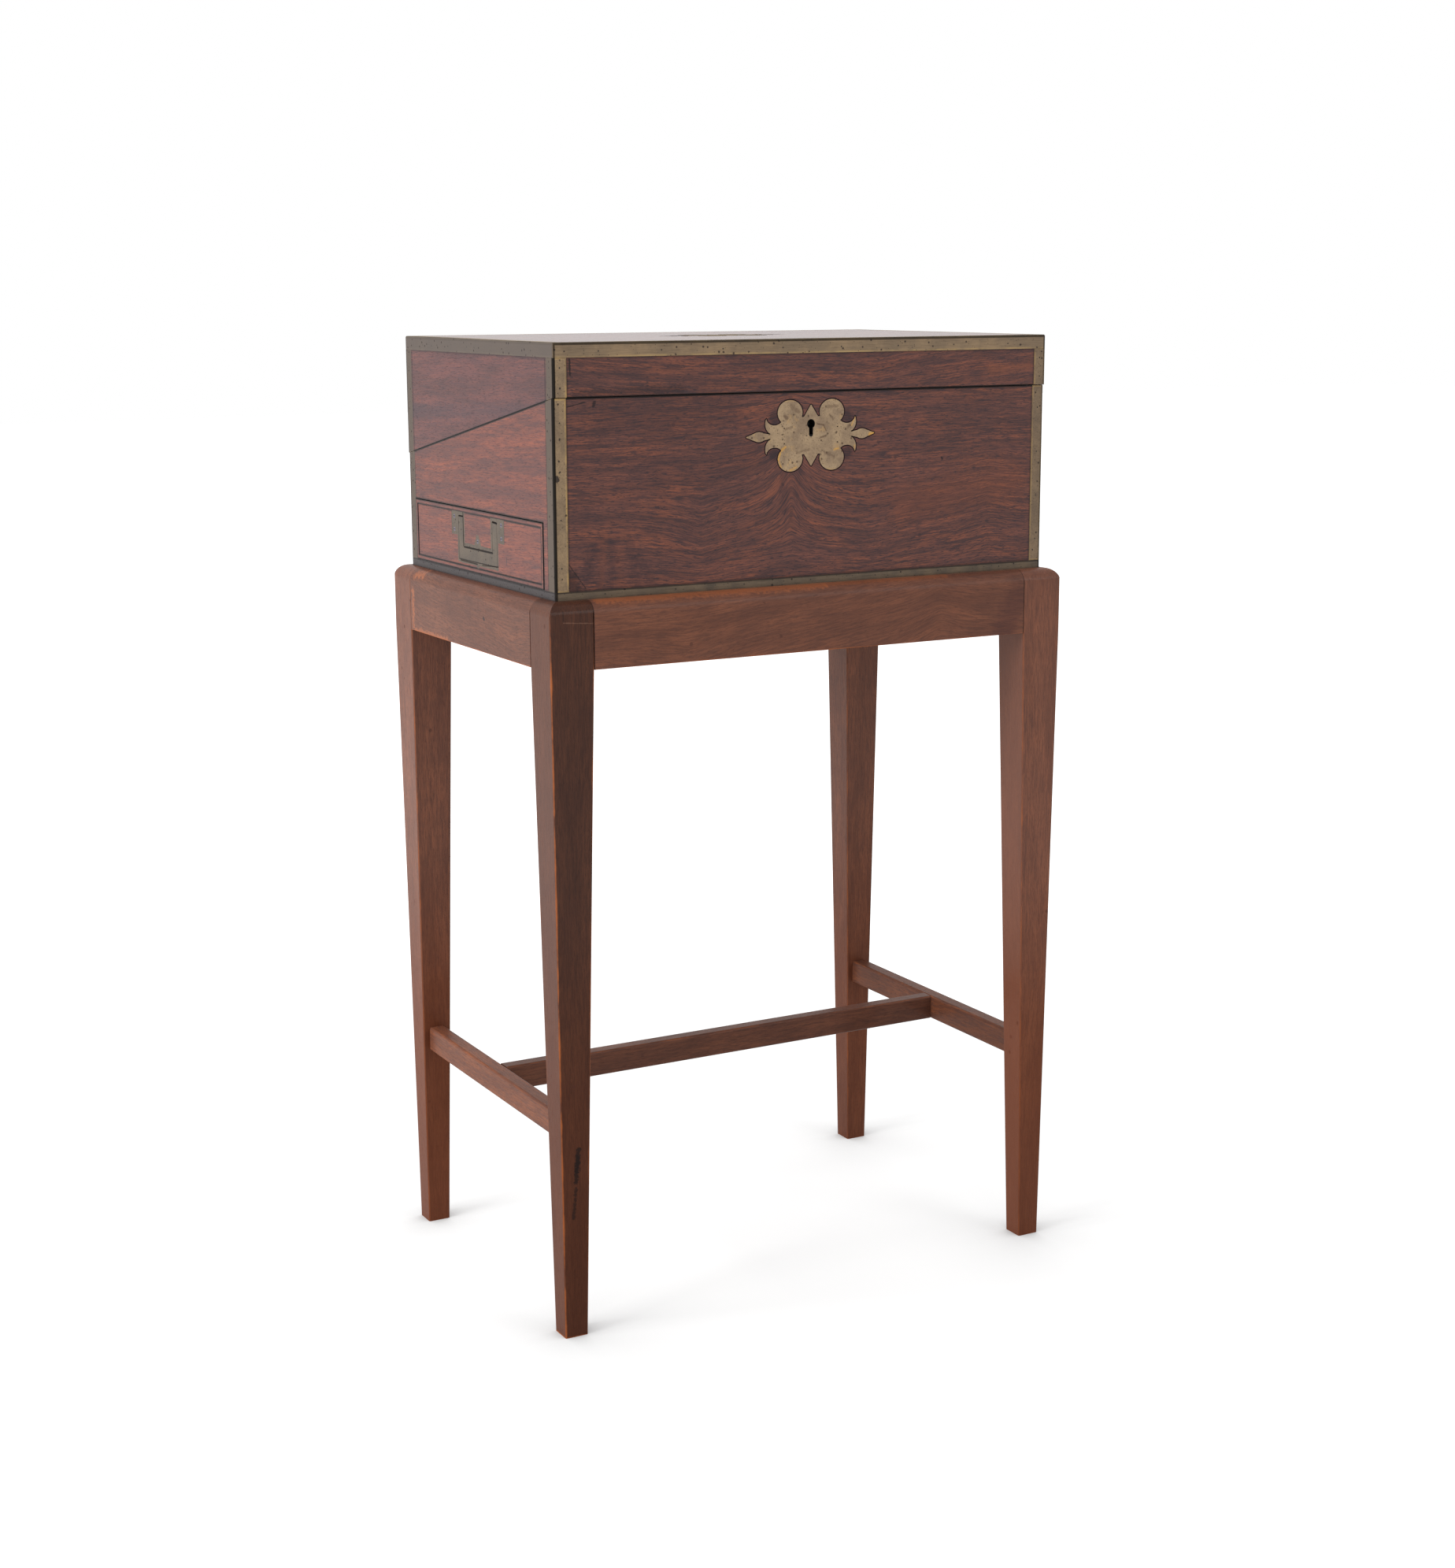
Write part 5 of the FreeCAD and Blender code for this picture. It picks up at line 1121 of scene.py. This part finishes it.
@dataclass
class InlayLine:
    """Dark wax in the joint round an inlaid brass plate, which also paints the shade at the plate's
    edge.

    The line is a ribbon along the outline of the plate's shown face: each outline point is joined to
    the same point moved outwards by the line's width, along the mean of its two edges' normals.
    """

    plate: str
    body: str
    axis: int
    side: float
    width: float = 1.0 * MM
    lift: float = 0.04 * MM
    keyhole_top: float | None = None
    keyhole_half: float = 5 * MM
    keyhole_drop: float = 11 * MM

    def outline(self) -> tuple[np.ndarray, np.ndarray]:
        """Outline of the shown face.

        Returns:
            The face's points in its own plane, and the pairs of points that bound it, each pair with
            the face on its left.
        """
        mesh = bpy.data.objects[self.plate].data
        points = mesh_points(self.plate)
        mesh.calc_loop_triangles()
        corners = np.empty(len(mesh.loop_triangles) * 3, dtype=np.int64)
        mesh.loop_triangles.foreach_get("vertices", corners)
        level = points[:, self.axis].max() if self.side > 0 else points[:, self.axis].min()
        plane = [axis for axis in range(3) if axis != self.axis]
        _, first, same = np.unique(np.round(points, 6), axis=0, return_index=True, return_inverse=True)
        triangles = same.reshape(-1)[corners].reshape(-1, 3)
        merged = points[first]
        shown = np.all(np.abs(merged[triangles][:, :, self.axis] - level) < 1e-5, axis=1)
        triangles = triangles[shown]
        flat = merged[:, plane]
        a, b, c = (flat[triangles[:, index]] for index in range(3))
        turn = (b[:, 0] - a[:, 0]) * (c[:, 1] - a[:, 1]) - (b[:, 1] - a[:, 1]) * (c[:, 0] - a[:, 0])
        triangles = np.where(turn[:, None] > 0, triangles, triangles[:, ::-1])
        edges = np.concatenate([triangles[:, [0, 1]], triangles[:, [1, 2]], triangles[:, [2, 0]]])
        keys = set(map(tuple, edges[:, ::-1].tolist()))
        lone = np.array([tuple(edge) not in keys for edge in edges.tolist()])
        return flat, edges[lone]

    def build(self) -> bpy.types.Object:
        """Make the ribbon as one mesh.

        Returns:
            The new piece, already riding on its body.
        """
        flat, edges = self.outline()
        middle = (flat[edges[:, 0]].min(0) + flat[edges[:, 0]].max(0)) / 2
        if self.keyhole_top is not None:
            centre = flat[edges].mean(1)
            fall = self.keyhole_top - centre[:, 1]
            beside = np.abs(centre[:, 0] - middle[0]) < self.keyhole_half
            edges = edges[~(beside & (fall > -self.keyhole_half) & (fall < self.keyhole_drop))]
        run = flat[edges[:, 1]] - flat[edges[:, 0]]
        out = np.stack([run[:, 1], -run[:, 0]], 1)
        out /= np.linalg.norm(out, axis=1, keepdims=True)
        total = np.zeros_like(flat)
        np.add.at(total, edges[:, 0], out)
        np.add.at(total, edges[:, 1], out)
        length = np.linalg.norm(total, axis=1, keepdims=True)
        total = np.divide(total, length, out=np.zeros_like(total), where=length > 0)
        used, compact = np.unique(edges, return_inverse=True)
        compact = compact.reshape(edges.shape)
        inner = flat[used]
        outer = inner + total[used] * self.width
        count = len(used)
        ribbon = np.concatenate([inner, outer])
        quads = np.stack([compact[:, 0], compact[:, 1], compact[:, 1] + count, compact[:, 0] + count], 1)
        points = np.empty((len(ribbon), 3))
        rest = [axis for axis in range(3) if axis != self.axis]
        points[:, rest] = ribbon
        points[:, self.axis] = self.face_level() + self.side * self.lift
        return add_piece(f"{self.plate}_wax", points, quads.tolist(), WaxAndShadeFinish().material(), self.body)

    def face_level(self) -> float:
        """Where the plate's shown face lies along its own axis."""
        low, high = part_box(self.plate)
        return high[self.axis] if self.side > 0 else low[self.axis]


def add_piece(name: str, points: np.ndarray, faces: Sequence[Sequence[int]],
              material: bpy.types.Material, body: str) -> bpy.types.Object:
    """Make one new piece from points and faces, and let it ride on its body.

    Args:
        name: The piece's name.
        points: Its points in the row frame, in metres.
        faces: The numbers of each face's points.
        material: Its finish.
        body: The body that it rides on.

    Returns:
        The new piece.
    """
    mesh = bpy.data.meshes.new(name)
    mesh.from_pydata(points.tolist(), [], [list(face) for face in faces])
    mesh.validate()
    mesh.update()
    mesh.materials.append(material)
    piece = bpy.data.objects.new(name, mesh)
    bpy.context.scene.collection.objects.link(piece)
    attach(piece, body)
    LOG.info("%s: %d points on %s", name, len(points), body)
    return piece


@dataclass
class WritingBox:
    """The body, the sloping lid and everything inside them."""

    lining: TimberFinish = LINING_WOOD
    keyhole_rise: float = 9.9 * MM
    outer: Block = field(init=False)
    lid_outer: Block = field(init=False)
    seam: tuple[float, float] = field(init=False)

    def __post_init__(self) -> None:
        """Read the outer forms and the seam's plane from the frame."""
        low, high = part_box("base_band")
        lid_low, lid_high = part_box("lid_band")
        self.outer = Block(tuple(low), (high.x, high.y, lid_high.z))
        self.lid_outer = Block((lid_low.x, lid_low.y, low.z), tuple(lid_high))
        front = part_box("base_front_board")[1].z
        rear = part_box("base_rear_board")[1].z
        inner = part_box("base_rear_board")[0].y
        slope = (front - rear) / (inner - low.y)
        self.seam = (front + slope * low.y, slope)

    def rim(self, low_z: float, high_z: float, facing: int) -> Block:
        """Find the wood that shows between the brass on one face.

        Args:
            low_z: The lower edge of the wood.
            high_z: Its upper edge.
            facing: The axis that the face looks along, 0 for x and 1 for y.

        Returns:
            The wood's outline as a block without an end along that axis.
        """
        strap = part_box("base_strap_front_left")
        along_x = -strap[1].x
        along_y = -strap[1].y
        halves = (FAR, along_y) if facing == 0 else (along_x, FAR)
        return Block((-halves[0], -halves[1], low_z), (halves[0], halves[1], high_z))

    def keyhole_level(self) -> float:
        """Height of the round head of the keyhole."""
        low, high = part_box("escutcheon")
        return (low.z + high.z) / 2 + self.keyhole_rise

    def keyhole_shade_marks(self) -> tuple[Mark, ...]:
        """Painted shade on the walls of the keyhole, through the plate and the board behind it."""
        level, black = self.keyhole_level() / MM, paint(12, 9, 9)
        return marks_on(0, (0, level, 0, level + 0.1, 3.8, 0.4, 1.0, black, 0.0),
                        (0, level, 0, level - 9.2, 1.8, 0.4, 1.0, black, 0.0))

    def plate_marks(self) -> tuple[Mark, ...]:
        """Mark the keyhole plate.

        Returns:
            Painted shade on the keyhole's walls, places rubbed to gold, a curled scratch and darker
            mottling.
        """
        gold, dusk = paint(212, 160, 80), paint(96, 74, 60)
        return self.keyhole_shade_marks() + marks_on(
            0,
            (61.5, 789.5, 67, 790.5, 0.8, 2.4, 0.85, gold, 0.4),
            (-31.4, 776.5, -33.2, 770.5, 0.3, 1.1, 0.7, gold, 0.6),
            (-33.2, 770.5, -30.5, 764, 0.2, 1, 0.5, gold, 0.7),
            (-21, 761, -15, 763.5, 0.2, 1.2, 0.5, gold, 0.7),
            (-30, 778.5, -26, 781.5, 0.4, 1.4, 0.6, gold, 0.6),
            (45.2, 780.5, 44.6, 776.5, 0.2, 1, 0.35, gold, 0.5),
            (24, 777.5, 28, 778.5, 0.2, 1.2, 0.6, gold, 0.6),
            (45.5, 806, 42, 798.5, 0.2, 1.2, 0.4, gold, 0.5),
            (6.5, 800.5, 13, 799.5, 0.2, 0.9, 0.7, dusk, 0.5),
            (13, 799.5, 15.5, 794.5, 0.2, 0.8, 0.6, dusk, 0.5),
            (15, 790, 10, 788.8, 0.4, 0.9, 0.7, dusk, 0.5),
            (-27, 808, -24, 806, 0.5, 1.4, 0.6, dusk, 1.2),
            (-20, 817, -13, 812, 0.3, 2.4, 0.4, dusk, 1.8),
            (17, 815, 26, 816, 0.3, 2.2, 0.4, dusk, 1.8),
            (19, 808, 23, 805, 0.3, 1.6, 0.5, dusk, 1.5),
            (-28, 796.5, -19, 798.5, 0.2, 1.6, 0.4, dusk, 1.6),
            (-14, 776, -2, 779, 0.2, 1.4, 0.35, dusk, 1.8),
            (13, 776, 24, 772, 0.2, 1.8, 0.4, dusk, 1.8),
            (36, 795, 40, 799, 0.3, 1.2, 0.4, dusk, 1.5))

    def front_marks(self) -> tuple[Mark, ...]:
        """Mark the body's front board.

        Returns:
            Painted shadows, dark wax and painted shade in the escutcheon's hollows, flames, painted
            shade on the keyhole's walls, cracks, a knot and a dark corner.
        """
        black, dusk, wax = paint(26, 20, 22), paint(52, 40, 44), paint(44, 34, 38)
        glow = paint(134, 76, 52)
        # Dark wax and painted shade in the hollows of the escutcheon's outline.
        hollows = ((x * 37.5, 791 + z * 15.6, x * 36, 791 + z * 16.4, 2.6, 5.4, 0.7, wax, 0.2)
                   for x in (-1, 1) for z in (-1, 1))
        flames = ((-222, -214, 702, 1.0, 8.0, 0.40, dusk), (-208, -203, 716, 0.4, 5.5, 0.14, glow),
                  (-197, -196, 706, 0.6, 6.0, 0.34, dusk), (-188, -189, 698, 0.4, 5.5, 0.12, glow),
                  (-174, -180, 704, 1.0, 7.0, 0.32, dusk), (-160, -166, 688, 0.4, 6.0, 0.28, dusk))
        return marks_on(
            0,
            (-205, 812, -80, 815, 4, 24, 0.3, dusk, 0.8),
            (-150, 762, -60, 770, 4, 20, 0.22, dusk, 0.8),
            (100, 726, 215, 742, 4, 26, 0.22, glow, 0.8),
            *hollows,
            *((low, 670, high, top, *rest, 1.4) for low, high, top, *rest in flames)
        ) + self.keyhole_shade_marks() + marks_on(
            0,
            (-236.6, 821.8, -220.6, 825.3, 0.2, 0.5, 0.85, black, 0.9),
            (-211.1, 825.2, -212.2, 822.2, 0.5, 1.2, 0.8, black, 1.3),
            (-236.9, 689.7, -221.8, 669.4, 0.2, 0.6, 0.7, black, 0.8),
            (-236.5, 679, -233, 669, 2, 9, 0.6, black, 0.5),
            (-20.5, 770, -20, 710, 0.2, 3.6, 0.1, glow, 1.4),
            (-29, 760, -27, 726, 0.4, 5, 0.34, dusk, 1.3),
            (-12, 766, -14, 738, 0.4, 5, 0.34, dusk, 1.3),
            (138.1, 766.4, 138.9, 765.4, 0.5, 0.8, 0.8, black, 0.5))

    def dress_boards(self) -> None:
        """Finish the outer boards of the body and the lid."""
        black, grey = paint(26, 20, 22), paint(62, 52, 58)
        front_bends = (
            Bend(-20 * MM, 0.762, 36 * MM, 19 * MM, 52 * MM),
            Bend(-110 * MM, 0.705, -16 * MM, 46 * MM, 40 * MM),
            Bend(60 * MM, 0.700, -10 * MM, 60 * MM, 40 * MM),
            Bend(190 * MM, 0.72, 12 * MM, 50 * MM, 50 * MM))
        lid_bends = (Bend(-0.2, 0.85, 18 * MM, 0.09, 0.05), Bend(0.1, 0.85, -9 * MM, 0.08, 0.05))
        top_bends = (Bend(0.05, 0.02, 30 * MM, 0.06, 0.08, 0.3),
                     Bend(-0.14, -0.05, -20 * MM, 0.07, 0.06))
        lid_marks = marks_on(
            0,
            (-234.7, 861.2, -234.2, 848, 0.5, 0.7, 0.85, black, 1.4),
            (-229, 831.8, -130, 834.5, 1, 5, 0.35, black, 1.0),
            (190, 844, 232, 847, 0.4, 7, 0.25, paint(150, 88, 58), 0.9))
        end_marks = marks_on(
            1,
            (150, 806, -150, 818, 3, 7, 0.4, grey, 0.9),
            (35.7, 842.7, 36.3, 834, 0.3, 0.7, 0.5, grey, 0.8))
        # Painted shadow in the gap round the drawer in the left end.
        low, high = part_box("drawer_front")
        gap = 0.6 * MM
        drawer_gap_shadow = Rim(Block((-FAR, low.y - gap, low.z - gap), (FAR, high.y + gap, high.z + gap)),
                      width=1.9 * MM, strength=1.0)
        # Painted sheen: the lid's left end gets a more purple ground, standing in for the pale
        # reflection across it.
        sheen_tinted_end = replace(END_ROSEWOOD, ground=paint(112, 70, 66), warm=paint(124, 76, 68),
                        dark=paint(94, 63, 64))
        boards = {
            "base_front_board": (ROSEWOOD, 2.0, {"bends": front_bends, "marks": self.front_marks()}),
            "base_rear_board": (ROSEWOOD, 5.5, {"tilt": 0.02}),
            "base_left_end": (END_ROSEWOOD, 8.2, {"tilt": -0.045}),
            "base_right_end": (END_ROSEWOOD, 9.9, {"tilt": -0.02}),
            "lid_front_board": (ROSEWOOD, 13.1, {"bends": lid_bends, "marks": lid_marks, "tilt": 0.04}),
            "lid_rear_board": (ROSEWOOD, 15.7, {}),
            "lid_left_end": (sheen_tinted_end, 17.3, {"marks": end_marks, "tilt": -0.03, "shade": 0.82}),
            "lid_right_end": (END_ROSEWOOD, 19.4, {"tilt": 0.03}),
            "lid_top_board": (TOP_ROSEWOOD, 23.6, {"bends": top_bends})}
        foot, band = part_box("base_band")[1].z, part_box("lid_band")[0].z
        for name, (finish, seed, cut) in boards.items():
            on_lid, facing = name.startswith("lid"), 0 if name.endswith("end") else 1
            outer = self.lid_outer if on_lid else self.outer
            if name == "lid_top_board":
                plank = Plank(Grain.FLAT_X, seed, outer, **cut)
            else:
                wood = self.rim(0.0, band, facing) if on_lid else self.rim(foot, FAR, facing)
                rims = (Rim(wood), drawer_gap_shadow) if name == "base_left_end" else (Rim(wood),)
                grain = Grain.ALONG_X if facing else Grain.ALONG_Y
                plank = Plank(grain, seed, outer, rims, seam=self.seam, **cut)
            finish.dress(name, plank)
        LOG.info("box: %d outer boards finished", len(boards))

    def dress_brass(self) -> None:
        """Finish the straps, bands, pins, plates, lock and hinges."""
        seed = 1.0
        stain = marks_on(0, (-247.5, 762.8, -247, 762, 1.9, 0.8, 0.9, paint(54, 46, 44), 0.4))
        # Painted shade: the front right straps take a darker copy of the strap brass.
        shaded_strap = replace(STRAP_BRASS, skin=paint(124, 105, 84), cloud=paint(108, 92, 76),
                            gold=0.3, arris_dark=0.55)
        for part, arris in (("base", self.outer), ("lid", self.lid_outer)):
            for corner in CORNERS:
                name = f"{part}_strap_{corner}"
                seed += 1.37
                finish = shaded_strap if corner == "front_right" else STRAP_BRASS
                finish.dress(name, seed, arris, stain if name == "base_strap_front_left" else ())
        BAND_BRASS.dress("lid_band", 14.0, self.lid_outer)
        FOOT_BRASS.dress("base_band", 17.0, self.outer)
        for name in ("base_strap_pins", "lid_strap_pins"):
            PIN_BRASS.dress(name, 19.0)
        PLATE_BRASS.dress("escutcheon", 23.0, marks=self.plate_marks())
        dark = paint(36, 30, 32)
        # Painted shade: dark patches stand in for the parts of the cartouche that catch no bright
        # reflection.
        dark_spots = marks_on(
            0,
            (-70, 0, -44, 0, 2, 6, 0.95, dark, 0.8),
            (50, 0, 70, 0, 2, 5, 0.9, dark, 0.8))
        TOP_BRASS.dress("lid_cartouche", 25.0, marks=dark_spots, flat=(1.0, 0.0, 0.0))
        LOCK_IRON.dress("lock_case", 29.0)
        for index, name in enumerate(("lock_link_plate", "lock_bolt", "hinge_base_leaves",
                                      "hinge_lid_leaves", "inkwell_caps")):
            WORK_BRASS.dress(name, 31.0 + index)

    def dress_inside(self) -> None:
        """Finish the tray, flaps, leathers, bottles and hidden boards."""
        grains = {
            "base_bottom_board": Grain.FLAT_X, "dust_board": Grain.FLAT_X,
            "base_inner_strips": Grain.ALONG_X, "tray_partition": Grain.ALONG_X,
            "pen_tray": Grain.FLAT_X, "upper_flap": Grain.FLAT_X, "lower_flap": Grain.FLAT_X,
            "lid_flap_ledges": Grain.ALONG_Y}
        for index, (name, grain) in enumerate(grains.items()):
            self.lining.dress(name, Plank(grain, 51.0 + 2.9 * index))
        for index, name in enumerate(("upper_flap_leather", "lower_flap_leather")):
            LeatherFinish().dress(name, 2.0 + index)
        dress("inkwell_bottles", GlassFinish().material())

    def build(self) -> None:
        """Finish every node of the box and add the wax and painted edge shade round its inlaid plates.
        """
        self.dress_boards()
        self.dress_brass()
        self.dress_inside()
        InlayLine("escutcheon", "box", axis=1, side=-1.0, keyhole_top=self.keyhole_level()).build()
        InlayLine("lid_cartouche", "lid", axis=2, side=1.0).build()


@dataclass
class Drawer:
    """The end drawer with its cock bead and flush handle."""

    bead: float = 4 * MM

    def build(self) -> None:
        """Finish the drawer's front, bead, boards and handle."""
        low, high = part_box("drawer_front")
        # Painted shadow in the gaps round the drawer front and inside its bead.
        bead_gap_shadows = tuple(
            Rim(Block((-FAR, low.y + inset, low.z + inset), (FAR, high.y - inset, high.z - inset)),
                width=1.6 * MM, strength=1.0) for inset in (self.bead, 0.0))
        dusk, black = paint(58, 44, 50), paint(16, 12, 12)
        marks = marks_on(1, (-61.4, 686.9, -60.7, 681.5, 0.35, 0.6, 0.8, dusk, 0.5),
                         (106.1, 692.4, 94.9, 687.5, 0.2, 0.7, 0.5, dusk, 0.5))
        END_ROSEWOOD.dress("drawer_front", Plank(
            Grain.ALONG_Y, 61.3, rims=bead_gap_shadows, marks=marks, tilt=-0.045, tone=0.6, shade=1.04))
        END_ROSEWOOD.dress("drawer_bead", Plank(Grain.ALONG_Y, 63.9, rims=bead_gap_shadows, shade=1.1))
        grains = {"side_front": Grain.ALONG_X, "side_rear": Grain.ALONG_X, "back": Grain.ALONG_Y,
                  "bottom": Grain.FLAT_X}
        for index, (name, grain) in enumerate(grains.items()):
            LINING_WOOD.dress(f"drawer_{name}", Plank(grain, 71.0 + 3.1 * index, tone=0.55))
        # Painted shadows: black in the bail's pivot slots and in the gaps round the bail.
        handle_gap_shadows = marks_on(
            1,
            (35.5, 716, 44.5, 716, 0.5, 0.5, 0.85, black, 0.0),
            (-32, 716.3, -41, 715.7, 0.7, 0.5, 0.95, black, 0.0),
            (34.8, 721, 34.8, 689.5, 0.3, 1, 0.85, black, 0.0),
            (33.5, 688.4, -31, 688.4, 0.3, 0.8, 0.9, black, 0.0),
            (42, 675.8, 4, 675.4, 0.2, 0.7, 0.85, black, 0.0),
            (-7, 675.4, -45, 677.6, 0.2, 0.7, 0.7, black, 0.0))
        for index, name in enumerate(("handle_plate", "handle_bail")):
            HANDLE_BRASS.dress(name, 81.0 + index, marks=handle_gap_shadows, flat=(0.0, 1.0, 1.0))
        SCREW_STEEL.dress("handle_screws", 83.0)
        LOG.info("drawer finished")


# ------------------------------------------------------------------------------------ studio
@dataclass(frozen=True)
class Lamp:
    """One square soft light, aimed at a point."""

    name: str
    place: Triple
    aim: Triple
    size: float
    watts: float

    def build(self) -> None:
        """Make the light."""
        light = bpy.data.lights.new(self.name, "AREA")
        light.shape = "SQUARE"
        light.size = self.size
        light.energy = self.watts
        lamp = bpy.data.objects.new(self.name, light)
        lamp.location = self.place
        lamp.rotation_euler = (Vector(self.place) - Vector(self.aim)).to_track_quat("Z", "Y").to_euler()
        bpy.context.scene.collection.objects.link(lamp)


@dataclass
class Studio:
    """Pale floor, soft lights, a white surround and the camera."""

    azimuth: float = math.radians(-28.818)
    elevation: float = math.radians(11.531)
    roll: float = math.radians(-0.223)
    distance: float = 2.3738
    target: Triple = (0.0038, 0.0, 0.44844)
    lens: float = 56.43
    sensor: float = 36.0
    surround: float = 0.62
    floor_size: float = 30.0
    floor_lit: float = 0.72
    floor_seen: float = 0.42
    floor_glow: float = 0.62
    glow_full: tuple[float, float] = (0.5, 1.6)
    contact_reach: float = 0.14
    contact_dark: float = 0.75
    lamps: tuple[Lamp, ...] = (
        Lamp("left_softbox", (-3.2, -0.2, 1.8), (0.0, 0.0, 0.6), 1.8, 104.0),
        Lamp("front_softbox", (1.7, -2.9, 2.05), (0.0, 0.0, 0.6), 1.1, 17.0),
        Lamp("top_softbox", (0.4, 1.0, 3.2), (0.0, 0.0, 0.8), 2.0, 30.0))

    def build(self) -> None:
        """Make everything round the object."""
        self.build_camera()
        self.build_floor()
        self.build_world()
        for lamp in self.lamps:
            lamp.build()
        bpy.context.scene.view_settings.view_transform = "Standard"
        LOG.info("studio: camera, floor, surround and %d lamps", len(self.lamps))

    def build_camera(self) -> None:
        """Place the camera on its line of sight, with its slight roll."""
        a, e = self.azimuth, self.elevation
        back = Vector((math.sin(a) * math.cos(e), -math.cos(a) * math.cos(e), math.sin(e)))
        across = Vector((0.0, 0.0, 1.0)).cross(back).normalized()
        up = back.cross(across)
        turned = across * math.cos(self.roll) + up * math.sin(self.roll)
        raised = up * math.cos(self.roll) - across * math.sin(self.roll)
        data = bpy.data.cameras.new("camera")
        data.lens = self.lens
        data.sensor_width = self.sensor
        data.sensor_fit = "AUTO"
        data.clip_end = 100.0
        camera = bpy.data.objects.new("camera", data)
        frame = Matrix((turned, raised, back)).transposed().to_4x4()
        frame.translation = Vector(self.target) + back * self.distance
        camera.matrix_world = frame
        bpy.context.scene.collection.objects.link(camera)
        bpy.context.scene.camera = camera

    def build_floor(self) -> None:
        """Make the white floor, which keeps the object's soft shadow and a painted contact shadow."""
        half = self.floor_size / 2
        mesh = bpy.data.meshes.new("floor")
        mesh.from_pydata([(-half, -half, 0), (half, -half, 0), (half, half, 0), (-half, half, 0)], [],
                         [(0, 1, 2, 3)])
        floor = bpy.data.objects.new("floor", mesh)
        material = bpy.data.materials.new("floor")
        material.use_nodes = True
        material.node_tree.nodes.clear()
        graph = Graph(material.node_tree)
        pale, shown = (graph.node("ShaderNodeBsdfDiffuse", {"Color": (grey, grey, grey, 1.0)})
                       for grey in (self.floor_lit, self.floor_seen))
        away = graph.length(graph.node("ShaderNodeTexCoord").outputs["Object"])
        # Painted contact shadow: ambient occlusion lowers the floor's glow round the feet.
        near = graph.node("ShaderNodeAmbientOcclusion", {"Distance": self.contact_reach}, samples=16)
        contact_shadow = graph.times(graph.math("SUBTRACT", 1.0, near.outputs["AO"]), self.contact_dark)
        even = graph.between(graph.step(away, *self.glow_full), self.floor_glow, 1.0)
        strength = graph.math("SUBTRACT", even, contact_shadow)
        glow = graph.node("ShaderNodeEmission", {"Color": (1.0, 1.0, 1.0, 1.0), "Strength": strength})
        both = graph.node("ShaderNodeAddShader", {0: shown.outputs[0], 1: glow.outputs[0]})
        path = graph.node("ShaderNodeLightPath")
        seen = self.seen_directly(graph, path)
        mixed = graph.node("ShaderNodeMixShader", {0: seen, 1: pale.outputs[0], 2: both.outputs[0]})
        graph.node("ShaderNodeOutputMaterial", {"Surface": mixed.outputs[0]})
        mesh.materials.append(material)
        bpy.context.scene.collection.objects.link(floor)

    @staticmethod
    def seen_directly(graph: Graph, path: bpy.types.Node) -> Socket:
        """1 for what the camera sees itself, in a shine or through glass, and 0 for soft light."""
        seen, shine, through = (path.outputs[f"Is {kind} Ray"]
                                for kind in ("Camera", "Glossy", "Transmission"))
        return graph.math("ADD", graph.math("ADD", seen, shine, clamp=True), through, clamp=True)

    def build_world(self) -> None:
        """Make the surround: white where it is seen, and softer as a light."""
        world = bpy.data.worlds.new("surround")
        bpy.context.scene.world = world
        world.use_nodes = True
        world.node_tree.nodes.clear()
        graph = Graph(world.node_tree)
        path = graph.node("ShaderNodeLightPath")
        strength = graph.between(self.seen_directly(graph, path), self.surround, 1.0)
        light = graph.node("ShaderNodeBackground", {"Color": (1.0, 1.0, 1.0, 1.0), "Strength": strength})
        graph.node("ShaderNodeOutputWorld", {"Surface": light.outputs[0]})


def corners(bounds: Sequence[Vector]) -> list[list[float]]:
    """A box's two corners as plain lists of numbers."""
    return [[float(number) for number in corner] for corner in bounds]


def main() -> None:
    """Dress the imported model, add its trim and set up the studio."""
    logging.basicConfig(level=logging.INFO, format="%(message)s")
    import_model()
    Stand().dress()
    WritingBox().build()
    Drawer().build()
    Studio().build()


if __name__ == "__main__":
    main()
